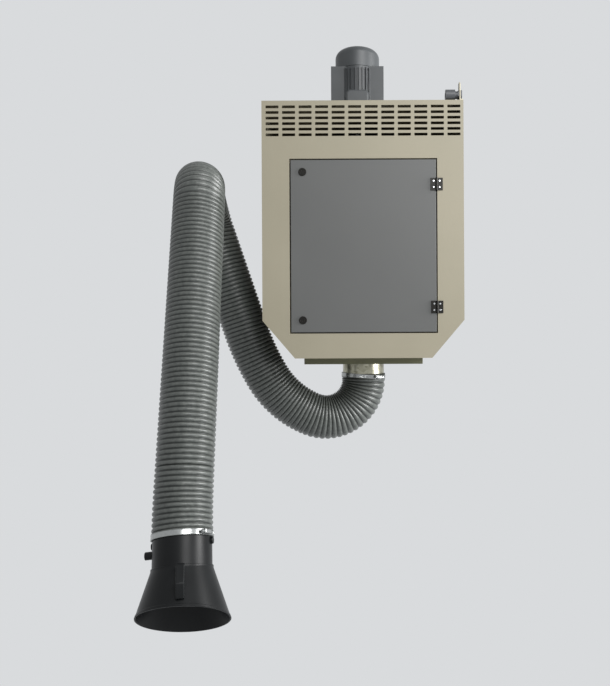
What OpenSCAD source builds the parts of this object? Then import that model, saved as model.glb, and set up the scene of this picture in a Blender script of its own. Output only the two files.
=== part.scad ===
// Wall-mounted fume filter unit with a swivelling extraction arm.
// Millimetres. Origin on the wall, at the centre of the four wall bolts. The front faces -Y, up is +Z.

/* [Cabinet] */
// Width of the sheet-steel cabinet
cab_w = 650; // [600:5:760]
// Height of the cabinet
cab_h = 830; // [800:5:950]
// Depth of the cabinet, from its front face to its back edge
cab_d = 625; // [600:5:700]
// Thickness of the folded sheet
sheet = 2; // [1.5:0.5:3]
// Height of the slanted bottom corners
corner_h = 122; // [90:1:140]
// Width of the slanted bottom corners
corner_w = 104; // [80:1:115]

/* [Wall rails] */
// Depth of the rails, which hold the cabinet off the wall
rail_d = 25; // [20:1:40]
// Sheet thickness of the rails
rail_t = 3; // [2:0.5:4]
// Height of a rail's wall plate
rail_h = 60; // [50:1:80]
// Distance between the two rails
rail_spacing = 600; // [500:10:620]
// Distance between the two bolt holes of a rail
bolt_spacing = 686; // [680:2:760]
// Diameter of the wall bolt holes
bolt_hole_d = 11; // [8:0.5:13]

/* [Grille] */
// Slots in a row
slot_columns = 12; // [6:1:12]
// Rows of slots
slot_rows = 6; // [3:1:6]
// Length of a slot
slot_len = 42; // [30:1:48]
// Height of a slot
slot_h = 9; // [6:0.5:12]
// Corner radius of a slot
slot_corner = 1.5; // [1:0.5:4]
// Distance between slot columns
slot_pitch_x = 53.2; // [50:0.2:54]
// Distance between slot rows
slot_pitch_z = 18; // [14:0.5:19]
// Distance of the top row of slots from the roof
slot_top_gap = 20; // [16:1:24]

/* [Door] */
// Width of the door opening
opening_w = 476; // [420:1:500]
// Height of the door opening
opening_h = 563; // [500:1:570]
// Height of the opening's lower edge above the cabinet's bottom
opening_low = 80; // [70:1:90]
// Offset of the opening from the cabinet's centre line
opening_x = 1.5; // [-5:0.5:5]
// Gap all round the door
door_gap = 4; // [3:0.5:6]
// Depth of the door pan
door_d = 22; // [18:1:30]
// Width of the stop that the door's seal closes on
stop_w = 14; // [10:1:18]
// Thickness of the door seal, closed
seal_t = 3; // [2:0.5:5]
// Diameter of the lock heads
lock_d = 25; // [20:1:30]
// Distance of the locks from the opening's left edge
lock_inset = 42; // [38:1:50]
// Distance of the locks from the opening's upper and lower edges
lock_drop = 43; // [35:1:60]
// Distance of the hinge centres from the opening's upper and lower edges
hinge_drop = 84; // [60:1:120]
// Height of a hinge
hinge_h = 40; // [30:1:60]
// Width of a hinge over both leaves
hinge_w = 39; // [30:1:50]
// Radius of the hinge barrel
barrel_r = 4; // [3.5:0.1:4.5]

/* [Fan motor] */
// Offset of the motor from the cabinet's centre line
motor_x = -17; // [-40:1:20]
// Height of the motor's top above the roof
motor_h = 296; // [280:1:360]
// Radius of the fan cowl
cowl_r = 81; // [78:1:90]
// Height of the fan cowl
cowl_h = 76; // [60:1:90]
// Rounding of the cowl's upper edge
cowl_round = 26; // [15:1:35]
// Width of the motor over its flat side pads
motor_w = 190; // [186:1:210]
// Depth of the flat side pads
pad_d = 136; // [110:2:140]
// Number of cooling fins
fin_count = 40; // [24:2:48]
// Radius of the fan impeller
impeller_r = 150; // [130:1:170]
// Number of impeller blades
blade_count = 7; // [5:1:9]

/* [Filter] */
// Outer radius of the pleated filter cartridge
filter_r = 165; // [140:1:180]
// Height of the pleated filter cartridge
filter_h = 400; // [350:5:420]
// Number of pleats
pleats = 40; // [24:2:48]

/* [Inlet] */
// Distance of the inlet's axis from the wall
inlet_y = 325; // [300:1:350]
// Width of the inlet tray under the cabinet
tray_w = 404; // [380:2:420]
// Depth of the inlet tray, front to back
tray_d = 400; // [300:5:420]
// Height of the inlet tray
tray_h = 23; // [22:1:40]
// Outer diameter of the inlet spigot
spigot_d = 152; // [150:1:156]
// Length of the spigot below the tray
spigot_len = 55; // [50:1:70]

/* [Hose] */
// Outer diameter of the hose over its ribs
hose_d = 160.5; // [158:0.5:164]
// Depth of the ribs
rib_depth = 5; // [3:0.5:6]
// Thickness of the hose wall in a groove
hose_wall = 2; // [1.5:0.5:3]
// Turn of the hose's lower loop from the cabinet's width towards its front, in degrees
loop_heading = 10; // [0:1:14]
// Radius of the loop under the cabinet
loop_r = 137.5; // [130:0.5:145]
// Turn of the loop under the cabinet, in degrees
loop_turn = 112.5; // [110:0.5:114]
// Radius of the rise beside the cabinet
rise_r = 338; // [330:2:360]
// Turn of the rise, in degrees
rise_turn = 37.2; // [36:0.1:40]
// Radius of the last bend before the straight lower arm
lean_r = 900; // [850:10:950]
// Turn of the last bend, in degrees
lean_turn = 11.7; // [10:0.1:13]
// Straight length of the lower arm's hose
lower_len = 362; // [340:1:420]
// Radius of the elbow's first half
elbow_r_in = 137; // [125:1:142]
// Radius of the elbow's second half
elbow_r_out = 125; // [115:1:132]
// Heading of the hose over the top of the elbow, in degrees from the front towards the right
elbow_heading = 14.4; // [8:0.1:16]
// Forward lean of the upper arm as it hangs, in degrees
upper_lean = 18.5; // [15:0.1:20]
// Sideways lean of the upper arm, in degrees
upper_side = 1.6; // [0:0.1:4]
// Straight length of the upper arm's hose
upper_len = 878; // [820:1:900]
// Distance of the hood's pivot above the end of the hose's bend
pivot_up = 60; // [58:1:70]

/* [Arm joints] */
// Outer radius of the arm's carrying tubes
tube_r = 19; // [16:1:20]
// Wall of the carrying tubes
tube_wall = 3; // [2:0.5:4]
// Outer radius of the bent tube in the loop
goose_r = 21; // [19:1:24]
// Radius of the pivot pins
pin_r = 6; // [5:0.5:7]
// Width of the pivot eyes
eye_w = 27; // [22:1:30]
// Radius of the pivot eyes
eye_r = 17; // [15:1:18]
// Thickness of a fork's cheek
cheek_t = 6; // [4:0.5:8]

/* [Hood] */
// Forward lean of the hood's axis, in degrees
hood_lean = 24; // [23:1:30]
// Sideways lean of the hood's axis, in degrees
hood_side = 5.8; // [4:0.1:8]
// Outer radius of the hood's collar
collar_r = 77; // [76.5:0.5:79]
// Length of the collar from its upper edge to the flare
collar_len = 78; // [72:1:90]
// Radius of the two round bosses on its sides
boss_r = 9.5; // [8:0.5:10]
// Length of the cone
cone_len = 117; // [100:1:150]
// Outer radius of the hood where the plane of its mouth crosses its axis
mouth_r = 119; // [105:0.5:130]
// Angle of the mouth off square, its front edge the higher, in degrees
mouth_turn = 13.3; // [0:0.1:18]
// Wall of the moulded hood
hood_wall = 3; // [2:0.5:4]

/* [Hidden] */
$fn = 64;

// Overrun of cuts, running gap between bodies, and clearance of a running pin
over = 1;
run_gap = 0.4;
pin_clear = 0.05;

// Planes of the cabinet
front_y = -(rail_d + cab_d);
top_z = cab_h / 2;
low_z = -cab_h / 2;
opening_low_z = low_z + opening_low;
opening_high_z = opening_low_z + opening_h;
opening_left = opening_x - opening_w / 2;
opening_right = opening_x + opening_w / 2;
stop_y = front_y + door_d + seal_t;

// Fan chamber
deck_rise = 34;
deck_z = opening_high_z + deck_rise;
deck_rim = 12;
eye_opening_r = 88;
cone_mouth_r = 112;
cone_h = 30;
cone_round = cone_mouth_r - eye_opening_r;

// Places of the locks and hinges
lock_x = opening_left + lock_inset;
lock_zs = [opening_high_z - lock_drop, opening_low_z + lock_drop];
hinge_zs = [opening_high_z - hinge_drop, opening_low_z + hinge_drop];
hinge_x = opening_right - door_gap / 2;
hinge_y = front_y - barrel_r;
leaf_t = 2.5;
leaf_gap = 0.4;
hinge_pin_r = 2.2;
screw_head_r = 3;
screw_head_h = 1.2;
screw_inset = 10;

// Lock parts behind the head
bezel_t = 3;
lock_barrel_r = 9;
bezel_bore_r = lock_barrel_r + run_gap;
cam_t = 3;
cam_w = 16;
cam_len = lock_inset - door_gap - over;
key_slot_w = 3;

// Motor stack
plinth_w = 250;
plinth_t = 12;
motor_r = 78;
fin_r = 86;
fin_t = 3;
cowl_t = 2;
motor_top_z = top_z + motor_h;
cowl_low_z = motor_top_z - cowl_h;
motor_low_z = top_z + plinth_t;
flange_r = 112;
flange_t = 14;
body_top_z = cowl_low_z + 2 * flange_t;
shaft_r = 12;
shaft_hole_r = 30;
box_w = 80;
box_d = 46;
box_h = 80;
box_top_z = top_z + 109;
box_wall = 4;
box_chamfer = 10;
lid_t = 8;
cowl_slots = 18;
cowl_slot_w = 5;

// Impeller
impeller_h = 72;
impeller_t = 3;
hub_r = 26;
blade_t = 3;
blade_arc_r = 130;
blade_in_r = 92;
impeller_low_z = deck_z + cone_h - over * 6;

// Filter cartridge
filter_plate_t = 3;
filter_plate_w = 2 * filter_r + 60;
pleat_depth = 14;
media_t = 40;
rail_leg = 22;
cap_h = 12;
media_top_z = deck_z - filter_plate_t;
baffle_r = 120;
baffle_t = 3;
baffle_rise = 55;
post_r = 6;
post_ring_r = 100;

// Inlet tray, ring bearing and spigot
spigot_r = spigot_d / 2;
spigot_wall = 2;
tray_low_z = low_z - tray_h;
spigot_low_z = tray_low_z - spigot_len;
ring_r = 98;
ring_flange_r = 94;
ring_flange_t = 3;
ring_h = (tray_h - sheet - ring_flange_t - 2 * run_gap) / 2;
ring_flange_z = tray_low_z + sheet + ring_h + run_gap;
inlet_hole_r = spigot_r + 2 * sheet;
inlet = [0, -inlet_y, spigot_low_z];

// Gland bracket on the roof
lug_t = 3;
lug_in_x = cab_w / 2 - 12;
lug_h = 61;
lug_d = 30;
gland_r = 17.4;
gland_neck_r = 12;
gland_bore_r = 7;
gland_len = 30;
gland_neck_len = 14;
gland_z = top_z + 20;
nut_len = 5;

// Vector helpers
up = [0, 0, 1];
function unit(v) = v / norm(v);
function to_deg(a) = a * 180 / PI;
function spin(v, k, a) = v * cos(a) + cross(k, v) * sin(a) + k * (k * v) * (1 - cos(a));
function hang(lean, side) = [sin(side), -sin(lean) * cos(side), -cos(lean) * cos(side)];

// The hose's route. A stretch is [length, bend radius or 0, bend axis], a state is [point, heading, side].
function arc_len(r, a) = r * a * PI / 180;
function step(st, part, s) =
    part[1] == 0
    ? [st[0] + s * st[1], st[1], st[2]]
    : let (k = part[2], a = to_deg(s / part[1]), c = st[0] + part[1] * cross(k, st[1]))
      [c + spin(st[0] - c, k, a), spin(st[1], k, a), spin(st[2], k, a)];
function finish(st, part) = step(st, part, part[0]);
function along(st, parts, s, i = 0) =
    s <= parts[i][0] || i == len(parts) - 1
    ? step(st, parts[i], s)
    : along(finish(st, parts[i]), parts, s - parts[i][0], i + 1);
function sum(v, i = 0) = i == len(v) ? 0 : v[i][0] + sum(v, i + 1);

loop_side = [-cos(loop_heading), -sin(loop_heading), 0];
loop_axis = cross(-up, loop_side);
over_top = [sin(elbow_heading), -cos(elbow_heading), 0];
rise_dir = spin(-up, loop_axis, loop_turn + rise_turn + lean_turn);
upper_dir = hang(upper_lean, upper_side);
hood_dir = hang(hood_lean, hood_side);
elbow_axis_in = unit(cross(rise_dir, over_top));
elbow_axis = unit(cross(over_top, upper_dir));
wrist_axis = unit(cross(upper_dir, hood_dir));
elbow_turn_in = acos(rise_dir * over_top);
elbow_turn_out = acos(over_top * upper_dir);
wrist_turn = acos(upper_dir * hood_dir);
wrist_r = pivot_up / tan(wrist_turn / 2);

drop_len = 7;
drop = [drop_len, 0, loop_axis];
loop = [arc_len(loop_r, loop_turn), loop_r, loop_axis];
rise = [arc_len(rise_r, rise_turn), rise_r, loop_axis];
lean = [arc_len(lean_r, lean_turn), lean_r, loop_axis];
lower = [lower_len, 0, loop_axis];
elbow_in = [arc_len(elbow_r_in, elbow_turn_in), elbow_r_in, elbow_axis_in];
elbow_out = [arc_len(elbow_r_out, elbow_turn_out), elbow_r_out, elbow_axis];
upper = [upper_len, 0, elbow_axis];
wrist = [arc_len(wrist_r, wrist_turn), wrist_r, wrist_axis];
route = [drop, loop, rise, lean, lower, elbow_in, elbow_out, upper, wrist];

start_state = [inlet, -up, loop_side];
loop_state = finish(start_state, drop);
rise_state = finish(loop_state, loop);
lean_state = finish(rise_state, rise);
lower_state = finish(lean_state, lean);
elbow_state = finish(lower_state, lower);
apex_state = finish(elbow_state, elbow_in);
upper_state = finish(apex_state, elbow_out);
wrist_state = finish(upper_state, upper);
hood_state = finish(wrist_state, wrist);

// Pivots: the shoulder and the wrist lie where the straight tubes' lines meet
shoulder_point = elbow_state[0] - rise_dir * (lower_len + lean_r * sin(lean_turn));
apex_point = apex_state[0];
wrist_point = hood_state[0] - hood_dir * pivot_up;

// Hose pieces, counted in ribs from the inlet
elbow_s = sum([drop, loop, rise, lean, lower]);
ribs_to_elbow = 73;
rib_pitch = elbow_s / ribs_to_elbow;
loop_ribs = 29;
shoulder_ribs = 15;
elbow_ribs = 26;
upper_ribs = 58;
wrist_ribs = 12;
hose_end_s = sum(route) - run_gap;
hose_r = hose_d / 2;
hose_sides = 8;

// Arm fittings
block_t = 10;
cheek_in = eye_w / 2 + run_gap;
tongue_len = 28;
goose_back = 48;
fork_back = 32;
spider_t = 4;
spider_h = 36;
spider_low_z = spigot_low_z + 8 * over;
pin_head_r = 10;
pin_head_t = 5;
sleeve_len = 60;
sleeve_wall = 7;
turn_collar_len = 10;
casting_r = 22;
socket_len = 40;
socket_wall = 5;

// Hood fittings, placed by their distance from the end of the hose's bend
neck_r = spigot_r;
neck_up = 32;
neck_tip_r = 60;
collar_s = 17;
boss_s = collar_s + boss_r + over / 2;
boss_out = 5.5;
cone_s = collar_s + collar_len;
cone_band = 7;
lip_t = 2;
lip_w = 6;
mouth_side_turn = 4.6;
damper_s = collar_s + 32;
damper_r = collar_r - hood_wall - 3.5 * over;
damper_t = 2;
spindle_r = 4;
knob_r = 10.5;
knob_len = 21;
knob_inner_gap = 1.9;
hub_plate_t = 4;
hub_plate_h = 8;
clamp_w = 14;
clamp_t = 1.2;
clamp_box = 12;
clamp_turn = -63;
grip_w = 21;
grip_len = 54;
grip_foot_len = 83;
grip_t = 10;
grip_stand = 28;
grip_toe = 9;
grip_turn = -14;

// Outline of the cabinet across its width, drawn in by t all round
corner_edge = norm([corner_w, corner_h]);
function half_outline(t) = [
    [cab_w / 2 - t, top_z - t],
    [cab_w / 2 - t, low_z + corner_h + t * (corner_edge - corner_h) / corner_w],
    [cab_w / 2 - corner_w * (1 - t / corner_h) - t * corner_edge / corner_h, low_z + t]
];
function mirrored(pts) = [for (i = [len(pts) - 1:-1:0]) [-pts[i][0], pts[i][1]]];

module cab_outline(t) polygon(concat(half_outline(t), mirrored(half_outline(t))));

// A slice of something drawn across the cabinet's width, from depth y0 forwards to y1
module slice(y0, y1) translate([0, y0, 0]) rotate([90, 0, 0]) linear_extrude(y0 - y1) children();

module box(lo, hi) translate(lo) cube(hi - lo);

// A tube standing on z0
module pipe(z0, z1, r_out, r_in) {
    difference() {
        translate([0, 0, z0]) cylinder(r = r_out, h = z1 - z0);
        translate([0, 0, z0 - over]) cylinder(r = r_in, h = z1 - z0 + 2 * over);
    }
}

// Moves what is drawn along +Z to a point, heading and side axis
module place(p, z, y) {
    x = cross(y, z);
    multmatrix([
        [x[0], y[0], z[0], p[0]],
        [x[1], y[1], z[1], p[1]],
        [x[2], y[2], z[2], p[2]],
        [0, 0, 0, 1]
    ]) children();
}

// A bent tube that starts upwards at the origin and turns about Y, r_in 0 for a solid one
module bent(radius, a0, a1, r_out, r_in) {
    translate([radius, 0, 0]) rotate([-90, 0, 0]) rotate([0, 0, 180 + a0])
        rotate_extrude(angle = a1 - a0) translate([radius, 0]) difference() {
            circle(r = r_out);
            if (r_in > 0) circle(r = r_in);
        }
}

// Cabinet

module housing() {
    lining = front_y + door_d + seal_t + sheet;
    color([0.66, 0.63, 0.54]) difference() {
        union() {
            difference() {
                slice(-rail_d, front_y) cab_outline(0);
                slice(-rail_d + over, front_y + sheet) cab_outline(sheet);
            }
            box([opening_left - sheet, front_y + sheet / 2, opening_low_z - sheet],
                [opening_right + sheet, lining, opening_high_z + sheet]);
        }
        box([opening_left, front_y - over, opening_low_z], [opening_right, stop_y, opening_high_z]);
        box([opening_left + stop_w, front_y, opening_low_z + stop_w],
            [opening_right - stop_w, lining + over, opening_high_z - stop_w]);
        for (i = [0:slot_columns - 1], j = [0:slot_rows - 1])
            translate([(i - (slot_columns - 1) / 2) * slot_pitch_x + opening_x, front_y + sheet + over,
                       top_z - slot_top_gap - j * slot_pitch_z]) slot();
        translate([motor_x, -inlet_y, top_z - sheet - over]) cylinder(r = shaft_hole_r, h = sheet + 2 * over);
        translate([0, -inlet_y, low_z - over]) cylinder(r = inlet_hole_r, h = sheet + 2 * over);
    }
}

module slot() {
    x = slot_len / 2 - slot_corner;
    z = slot_h / 2 - slot_corner;
    rotate([90, 0, 0]) linear_extrude(sheet + 2 * over) {
        square([2 * x, slot_h], center = true);
        square([slot_len, 2 * z], center = true);
        for (i = [-1, 1], j = [-1, 1]) translate([i * x, j * z]) circle(r = slot_corner, $fn = 24);
    }
}

module back_panel() color([0.62, 0.59, 0.50]) slice(-rail_d, -rail_d - sheet) cab_outline(sheet);

module wall_rail(z) {
    wing = (bolt_spacing + rail_h) / 2;
    inner = cab_w / 2 - corner_w / 2;
    web = rail_h / 2 - 4 * rail_t;
    color([0.55, 0.54, 0.50]) translate([0, 0, z]) {
        difference() {
            box([-wing, -rail_t, -rail_h / 2], [wing, 0, rail_h / 2]);
            for (side = [-1, 1]) translate([side * bolt_spacing / 2, over, 0]) rotate([90, 0, 0])
                cylinder(d = bolt_hole_d, h = rail_t + 2 * over);
        }
        for (side = [-1, 1]) {
            box([-inner, -rail_d, side * web - rail_t / 2], [inner, -rail_t, side * web + rail_t / 2]);
            box([-inner, -rail_d, side * (web + rail_h / 2) / 2 - 2 * rail_t],
                [inner, -rail_d + rail_t, side * (web + rail_h / 2) / 2 + 2 * rail_t]);
        }
    }
}

module wall_rail_upper() wall_rail(rail_spacing / 2);

module wall_rail_lower() wall_rail(-rail_spacing / 2);

module fan_deck() {
    x = cab_w / 2 - sheet;
    color([0.62, 0.59, 0.50]) difference() {
        box([-x, front_y + sheet, deck_z], [x, -rail_d - sheet, deck_z + deck_rim]);
        box([-x + sheet, front_y + 2 * sheet, deck_z + sheet], [x - sheet, -rail_d - 2 * sheet, deck_z + deck_rim + over]);
        translate([motor_x, -inlet_y, deck_z - over]) cylinder(r = cone_mouth_r, h = sheet + 2 * over);
    }
}

// Spun inlet ring: a quarter round that narrows from the deck to the impeller's eye
module inlet_cone() {
    color([0.70, 0.71, 0.72]) translate([motor_x, -inlet_y, deck_z + sheet]) rotate_extrude() {
        translate([cone_mouth_r, cone_round]) intersection() {
            difference() {
                circle(r = cone_round);
                circle(r = cone_round - sheet);
            }
            translate([-cone_round, -cone_round]) square(cone_round);
        }
        translate([cone_mouth_r, 0]) square([deck_rim, sheet]);
    }
}

module filter_rails() {
    half = filter_plate_w / 2;
    color([0.55, 0.55, 0.54]) for (side = [-1, 1]) translate([motor_x, 0, 0]) {
        box([side * (half + sheet / 2) - sheet / 2, -inlet_y - half, deck_z - rail_leg],
            [side * (half + sheet / 2) + sheet / 2, -inlet_y + half, deck_z]);
        box([side * (half - rail_leg / 2) - rail_leg / 2, -inlet_y - half, media_top_z - sheet],
            [side * (half - rail_leg / 2) + rail_leg / 2, -inlet_y + half, media_top_z]);
    }
}

module filter_flange() {
    half = filter_plate_w / 2;
    color([0.72, 0.72, 0.70]) difference() {
        translate([motor_x, -inlet_y, 0]) box([-half, -half, media_top_z], [half, half, deck_z]);
        translate([motor_x, -inlet_y, media_top_z - over]) cylinder(r = cone_mouth_r, h = filter_plate_t + 2 * over);
    }
}

// Pleated media: a ring whose two walls zigzag together
module filter_media() {
    function zigzag(r) = [for (i = [0:2 * pleats - 1])
        let (a = i * 180 / pleats, q = i % 2 == 0 ? r : r - pleat_depth) [q * cos(a), q * sin(a)]];
    color([0.90, 0.89, 0.84]) translate([motor_x, -inlet_y, media_top_z - filter_h])
        linear_extrude(filter_h) difference() {
            polygon(zigzag(filter_r));
            polygon(zigzag(filter_r - media_t));
        }
}

module filter_end_cap() {
    low = media_top_z - filter_h - cap_h;
    color([0.30, 0.30, 0.31]) translate([motor_x, -inlet_y, low]) rotate_extrude() polygon([
        [0, 0], [filter_r - cap_h / 2, 0], [filter_r + sheet, cap_h / 2], [filter_r + sheet, cap_h], [0, cap_h]
    ]);
}

module spark_baffle() {
    floor_z = low_z + sheet;
    color([0.68, 0.69, 0.70]) translate([0, -inlet_y, floor_z]) {
        translate([0, 0, baffle_rise]) cylinder(r = baffle_r, h = baffle_t);
        for (i = [0:2]) rotate([0, 0, 120 * i]) translate([post_ring_r, 0, 0]) cylinder(r = post_r, h = baffle_rise);
    }
}

// Inlet

module inlet_tray() {
    x = tray_w / 2;
    y0 = -inlet_y - tray_d / 2;
    y1 = -inlet_y + tray_d / 2;
    color([0.40, 0.40, 0.32]) difference() {
        box([-x, y0, tray_low_z], [x, y1, low_z]);
        box([-x + sheet, y0 + sheet, tray_low_z + sheet], [x - sheet, y1 - sheet, low_z + over]);
        translate([0, -inlet_y, tray_low_z - over]) cylinder(r = inlet_hole_r, h = sheet + 2 * over);
    }
}

module slide_ring() {
    color([0.88, 0.88, 0.85]) translate([0, -inlet_y, 0])
        pipe(tray_low_z + sheet, ring_flange_z - run_gap, ring_r, spigot_r + run_gap);
}

module keeper_ring() {
    color([0.72, 0.73, 0.74]) translate([0, -inlet_y, 0])
        pipe(ring_flange_z + ring_flange_t + run_gap, low_z, ring_r, spigot_r + run_gap);
}

module spigot() {
    color([0.74, 0.75, 0.76]) translate([0, -inlet_y, 0]) {
        pipe(spigot_low_z, ring_flange_z + ring_flange_t, spigot_r, spigot_r - spigot_wall);
        pipe(ring_flange_z, ring_flange_z + ring_flange_t, ring_flange_r, spigot_r - spigot_wall);
    }
}

// Roof fittings

module gland_lug() {
    x0 = lug_in_x;
    chamfer = lug_d / 3;
    color([0.86, 0.83, 0.72]) difference() {
        union() {
            translate([x0, 0, 0]) rotate([90, 0, 90]) linear_extrude(lug_t) polygon([
                [front_y, top_z], [front_y + lug_d, top_z], [front_y + lug_d, top_z + lug_h],
                [front_y + chamfer, top_z + lug_h], [front_y, top_z + lug_h - chamfer]
            ]);
            box([x0, front_y, top_z], [cab_w / 2 - sheet / 2, front_y + lug_d, top_z + lug_t]);
        }
        translate([x0 - over, front_y + lug_d / 2, gland_z]) rotate([0, 90, 0])
            cylinder(r = gland_neck_r, h = lug_t + 2 * over);
    }
}

module cable_gland() {
    color([0.45, 0.45, 0.46]) translate([lug_in_x + lug_t + nut_len, front_y + lug_d / 2, gland_z]) rotate([0, -90, 0]) {
        pipe(0, lug_t + nut_len + gland_neck_len, gland_neck_r, gland_bore_r);
        difference() {
            translate([0, 0, lug_t + nut_len]) cylinder(r = gland_r - lug_t, h = nut_len, $fn = 6);
            translate([0, 0, -over]) cylinder(r = gland_bore_r, h = 2 * gland_len);
        }
        difference() {
            cylinder(r = gland_r, h = nut_len, $fn = 6);
            translate([0, 0, -over]) cylinder(r = gland_bore_r, h = nut_len + 2 * over);
        }
        pipe(lug_t + nut_len + gland_neck_len, lug_t + nut_len + gland_neck_len + gland_len, gland_r, gland_bore_r);
    }
}

module motor_plinth() {
    half = plinth_w / 2;
    color([0.36, 0.37, 0.38]) difference() {
        translate([motor_x, -inlet_y, 0]) box([-half, -half, top_z], [half, half, motor_low_z]);
        translate([motor_x, -inlet_y, top_z - over]) cylinder(r = shaft_hole_r, h = plinth_t + 2 * over);
    }
}

// Finned motor case: foot flange, barrel, vertical fins all round and two flat side pads
module motor_body() {
    color([0.34, 0.35, 0.36]) translate([motor_x, -inlet_y, 0]) difference() {
        union() {
            translate([0, 0, motor_low_z]) cylinder(r = flange_r, h = flange_t);
            translate([0, 0, motor_low_z]) cylinder(r = motor_r, h = body_top_z - motor_low_z);
            translate([0, 0, cowl_low_z - flange_t]) cylinder(r = cowl_r - cowl_t, h = 1.5 * flange_t);
            for (i = [0:fin_count - 1]) let (a = (i + 0.5) * 360 / fin_count)
                if (abs(fin_r * sin(a)) > pad_d / 2 + fin_t) rotate([0, 0, a])
                    box([motor_r - 2 * over, -fin_t / 2, motor_low_z + flange_t / 2], [fin_r, fin_t / 2, cowl_low_z - flange_t / 2]);
            box([-motor_w / 2, -pad_d / 2, motor_low_z + 2 * flange_t],
                [motor_w / 2, pad_d / 2, cowl_low_z - run_gap]);
        }
        translate([0, 0, motor_low_z - over]) cylinder(r = shaft_r + run_gap, h = body_top_z - motor_low_z + 2 * over);
    }
}

module motor_cowl() {
    color([0.40, 0.41, 0.42]) translate([motor_x, -inlet_y, cowl_low_z]) difference() {
        rotate_extrude() difference() {
            cowl_section(0);
            cowl_section(cowl_t);
        }
        for (i = [0:cowl_slots - 1]) rotate([0, 0, i * 360 / cowl_slots])
            box([hub_r, -cowl_slot_w / 2, cowl_h - cowl_t - over],
                [cowl_r - cowl_round - 2 * over, cowl_slot_w / 2, cowl_h + over]);
    }
}

module cowl_section(t) {
    square([cowl_r - cowl_round, cowl_h - t]);
    translate([0, -min(t, over)]) square([cowl_r - t, cowl_h - cowl_round + min(t, over)]);
    translate([cowl_r - cowl_round, cowl_h - cowl_round]) intersection() {
        circle(r = cowl_round - t);
        square(cowl_round);
    }
}

// Face of the terminal box, drawn in by t all round, with its upper corners cut off
module box_face(t) {
    x = box_w / 2 - t;
    cut = box_chamfer - t / 2;
    translate([motor_x, 0]) polygon([
        [-x, box_top_z - box_h + t], [x, box_top_z - box_h + t], [x, box_top_z - t - cut],
        [x - cut, box_top_z - t], [cut - x, box_top_z - t], [-x, box_top_z - t - cut]
    ]);
}

module terminal_box() {
    y1 = -inlet_y - fin_r;
    color([0.30, 0.31, 0.32]) difference() {
        slice(y1, y1 - box_d) box_face(0);
        slice(y1 - 2 * lid_t, y1 - box_d - over) box_face(box_wall);
    }
}

module terminal_lid() {
    y1 = -inlet_y - fin_r - box_d;
    color([0.36, 0.37, 0.38]) {
        slice(y1, y1 - lid_t / 2) box_face(0);
        slice(y1 - lid_t / 2, y1 - lid_t) box_face(box_wall);
    }
}

module motor_shaft() {
    color([0.75, 0.76, 0.77]) translate([motor_x, -inlet_y, impeller_low_z + impeller_h / 2])
        cylinder(r = shaft_r, h = body_top_z - impeller_low_z - impeller_h / 2);
}

// Backward-curved impeller: back plate with hub, front ring, and arc blades between
module impeller() {
    color([0.55, 0.57, 0.60]) translate([motor_x, -inlet_y, impeller_low_z]) difference() {
        union() {
            translate([0, 0, impeller_h - impeller_t]) cylinder(r = impeller_r, h = impeller_t);
            pipe(0, impeller_t, impeller_r, blade_in_r);
            translate([0, 0, impeller_h / 2]) cylinder(r = hub_r, h = impeller_h / 2);
            for (i = [0:blade_count - 1]) rotate([0, 0, i * 360 / blade_count]) blade();
        }
        translate([0, 0, -over]) cylinder(r = shaft_r, h = impeller_h + 2 * over);
    }
}

module blade() {
    intersection() {
        translate([blade_in_r, blade_arc_r, 0])
            pipe(impeller_t / 2, impeller_h - impeller_t / 2, blade_arc_r + blade_t / 2, blade_arc_r - blade_t / 2);
        pipe(0, impeller_h, impeller_r - over, blade_in_r + over);
        box([0, -impeller_r, 0], [impeller_r, blade_arc_r, impeller_h]);
    }
}

// Door

module door_panel() {
    x0 = opening_left + door_gap;
    x1 = opening_right - door_gap;
    z0 = opening_low_z + door_gap;
    z1 = opening_high_z - door_gap;
    back = front_y + door_d;
    lip = stop_w;
    color([0.41, 0.41, 0.40]) difference() {
        box([x0, front_y, z0], [x1, back, z1]);
        box([x0 + sheet, front_y + sheet, z0 + sheet], [x1 - sheet, back - sheet, z1 - sheet]);
        box([x0 + lip, front_y + sheet, z0 + lip], [x1 - lip, back + over, z1 - lip]);
        for (z = lock_zs) translate([lock_x, back + over, z]) rotate([90, 0, 0])
            cylinder(r = lock_barrel_r + bezel_t, h = door_d + 2 * over);
    }
}

module door_seal() {
    x0 = opening_left + door_gap;
    x1 = opening_right - door_gap;
    z0 = opening_low_z + door_gap;
    z1 = opening_high_z - door_gap;
    y0 = front_y + door_d;
    width = stop_w - door_gap;
    color([0.10, 0.10, 0.10]) difference() {
        box([x0, y0, z0], [x1, y0 + seal_t - run_gap, z1]);
        box([x0 + width, y0 - over, z0 + width], [x1 - width, y0 + seal_t + over, z1 - width]);
    }
}

module hinge_barrel(z0, z1) {
    translate([hinge_x, hinge_y, 0]) pipe(z0, z1, barrel_r, hinge_pin_r + pin_clear);
}

// Frame leaf: the two outer knuckles and the plate on the cabinet's face
module hinge_frame_leaves() {
    third = hinge_h / 3;
    color([0.12, 0.12, 0.12]) for (z = hinge_zs) difference() {
        union() {
            for (side = [-1, 1]) translate([0, 0, z + side * third])
                hinge_barrel(-third / 2, third / 2 - leaf_gap / 2);
            box([hinge_x + barrel_r / 2, front_y - leaf_t, z - hinge_h / 2],
                [hinge_x + hinge_w / 2, front_y, z + hinge_h / 2 - leaf_gap]);
        }
        translate([hinge_x, hinge_y, z - third / 2 - leaf_gap]) cylinder(r = barrel_r + leaf_gap, h = third + 2 * leaf_gap);
        hinge_pin_way(z);
        for (s = [-1, 1]) screw_hole(hinge_x + hinge_w / 2 - screw_inset, z + s * screw_inset);
    }
}

module hinge_pin_way(z) {
    translate([hinge_x, hinge_y, z - hinge_h]) cylinder(r = hinge_pin_r, h = 2 * hinge_h);
}

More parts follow.
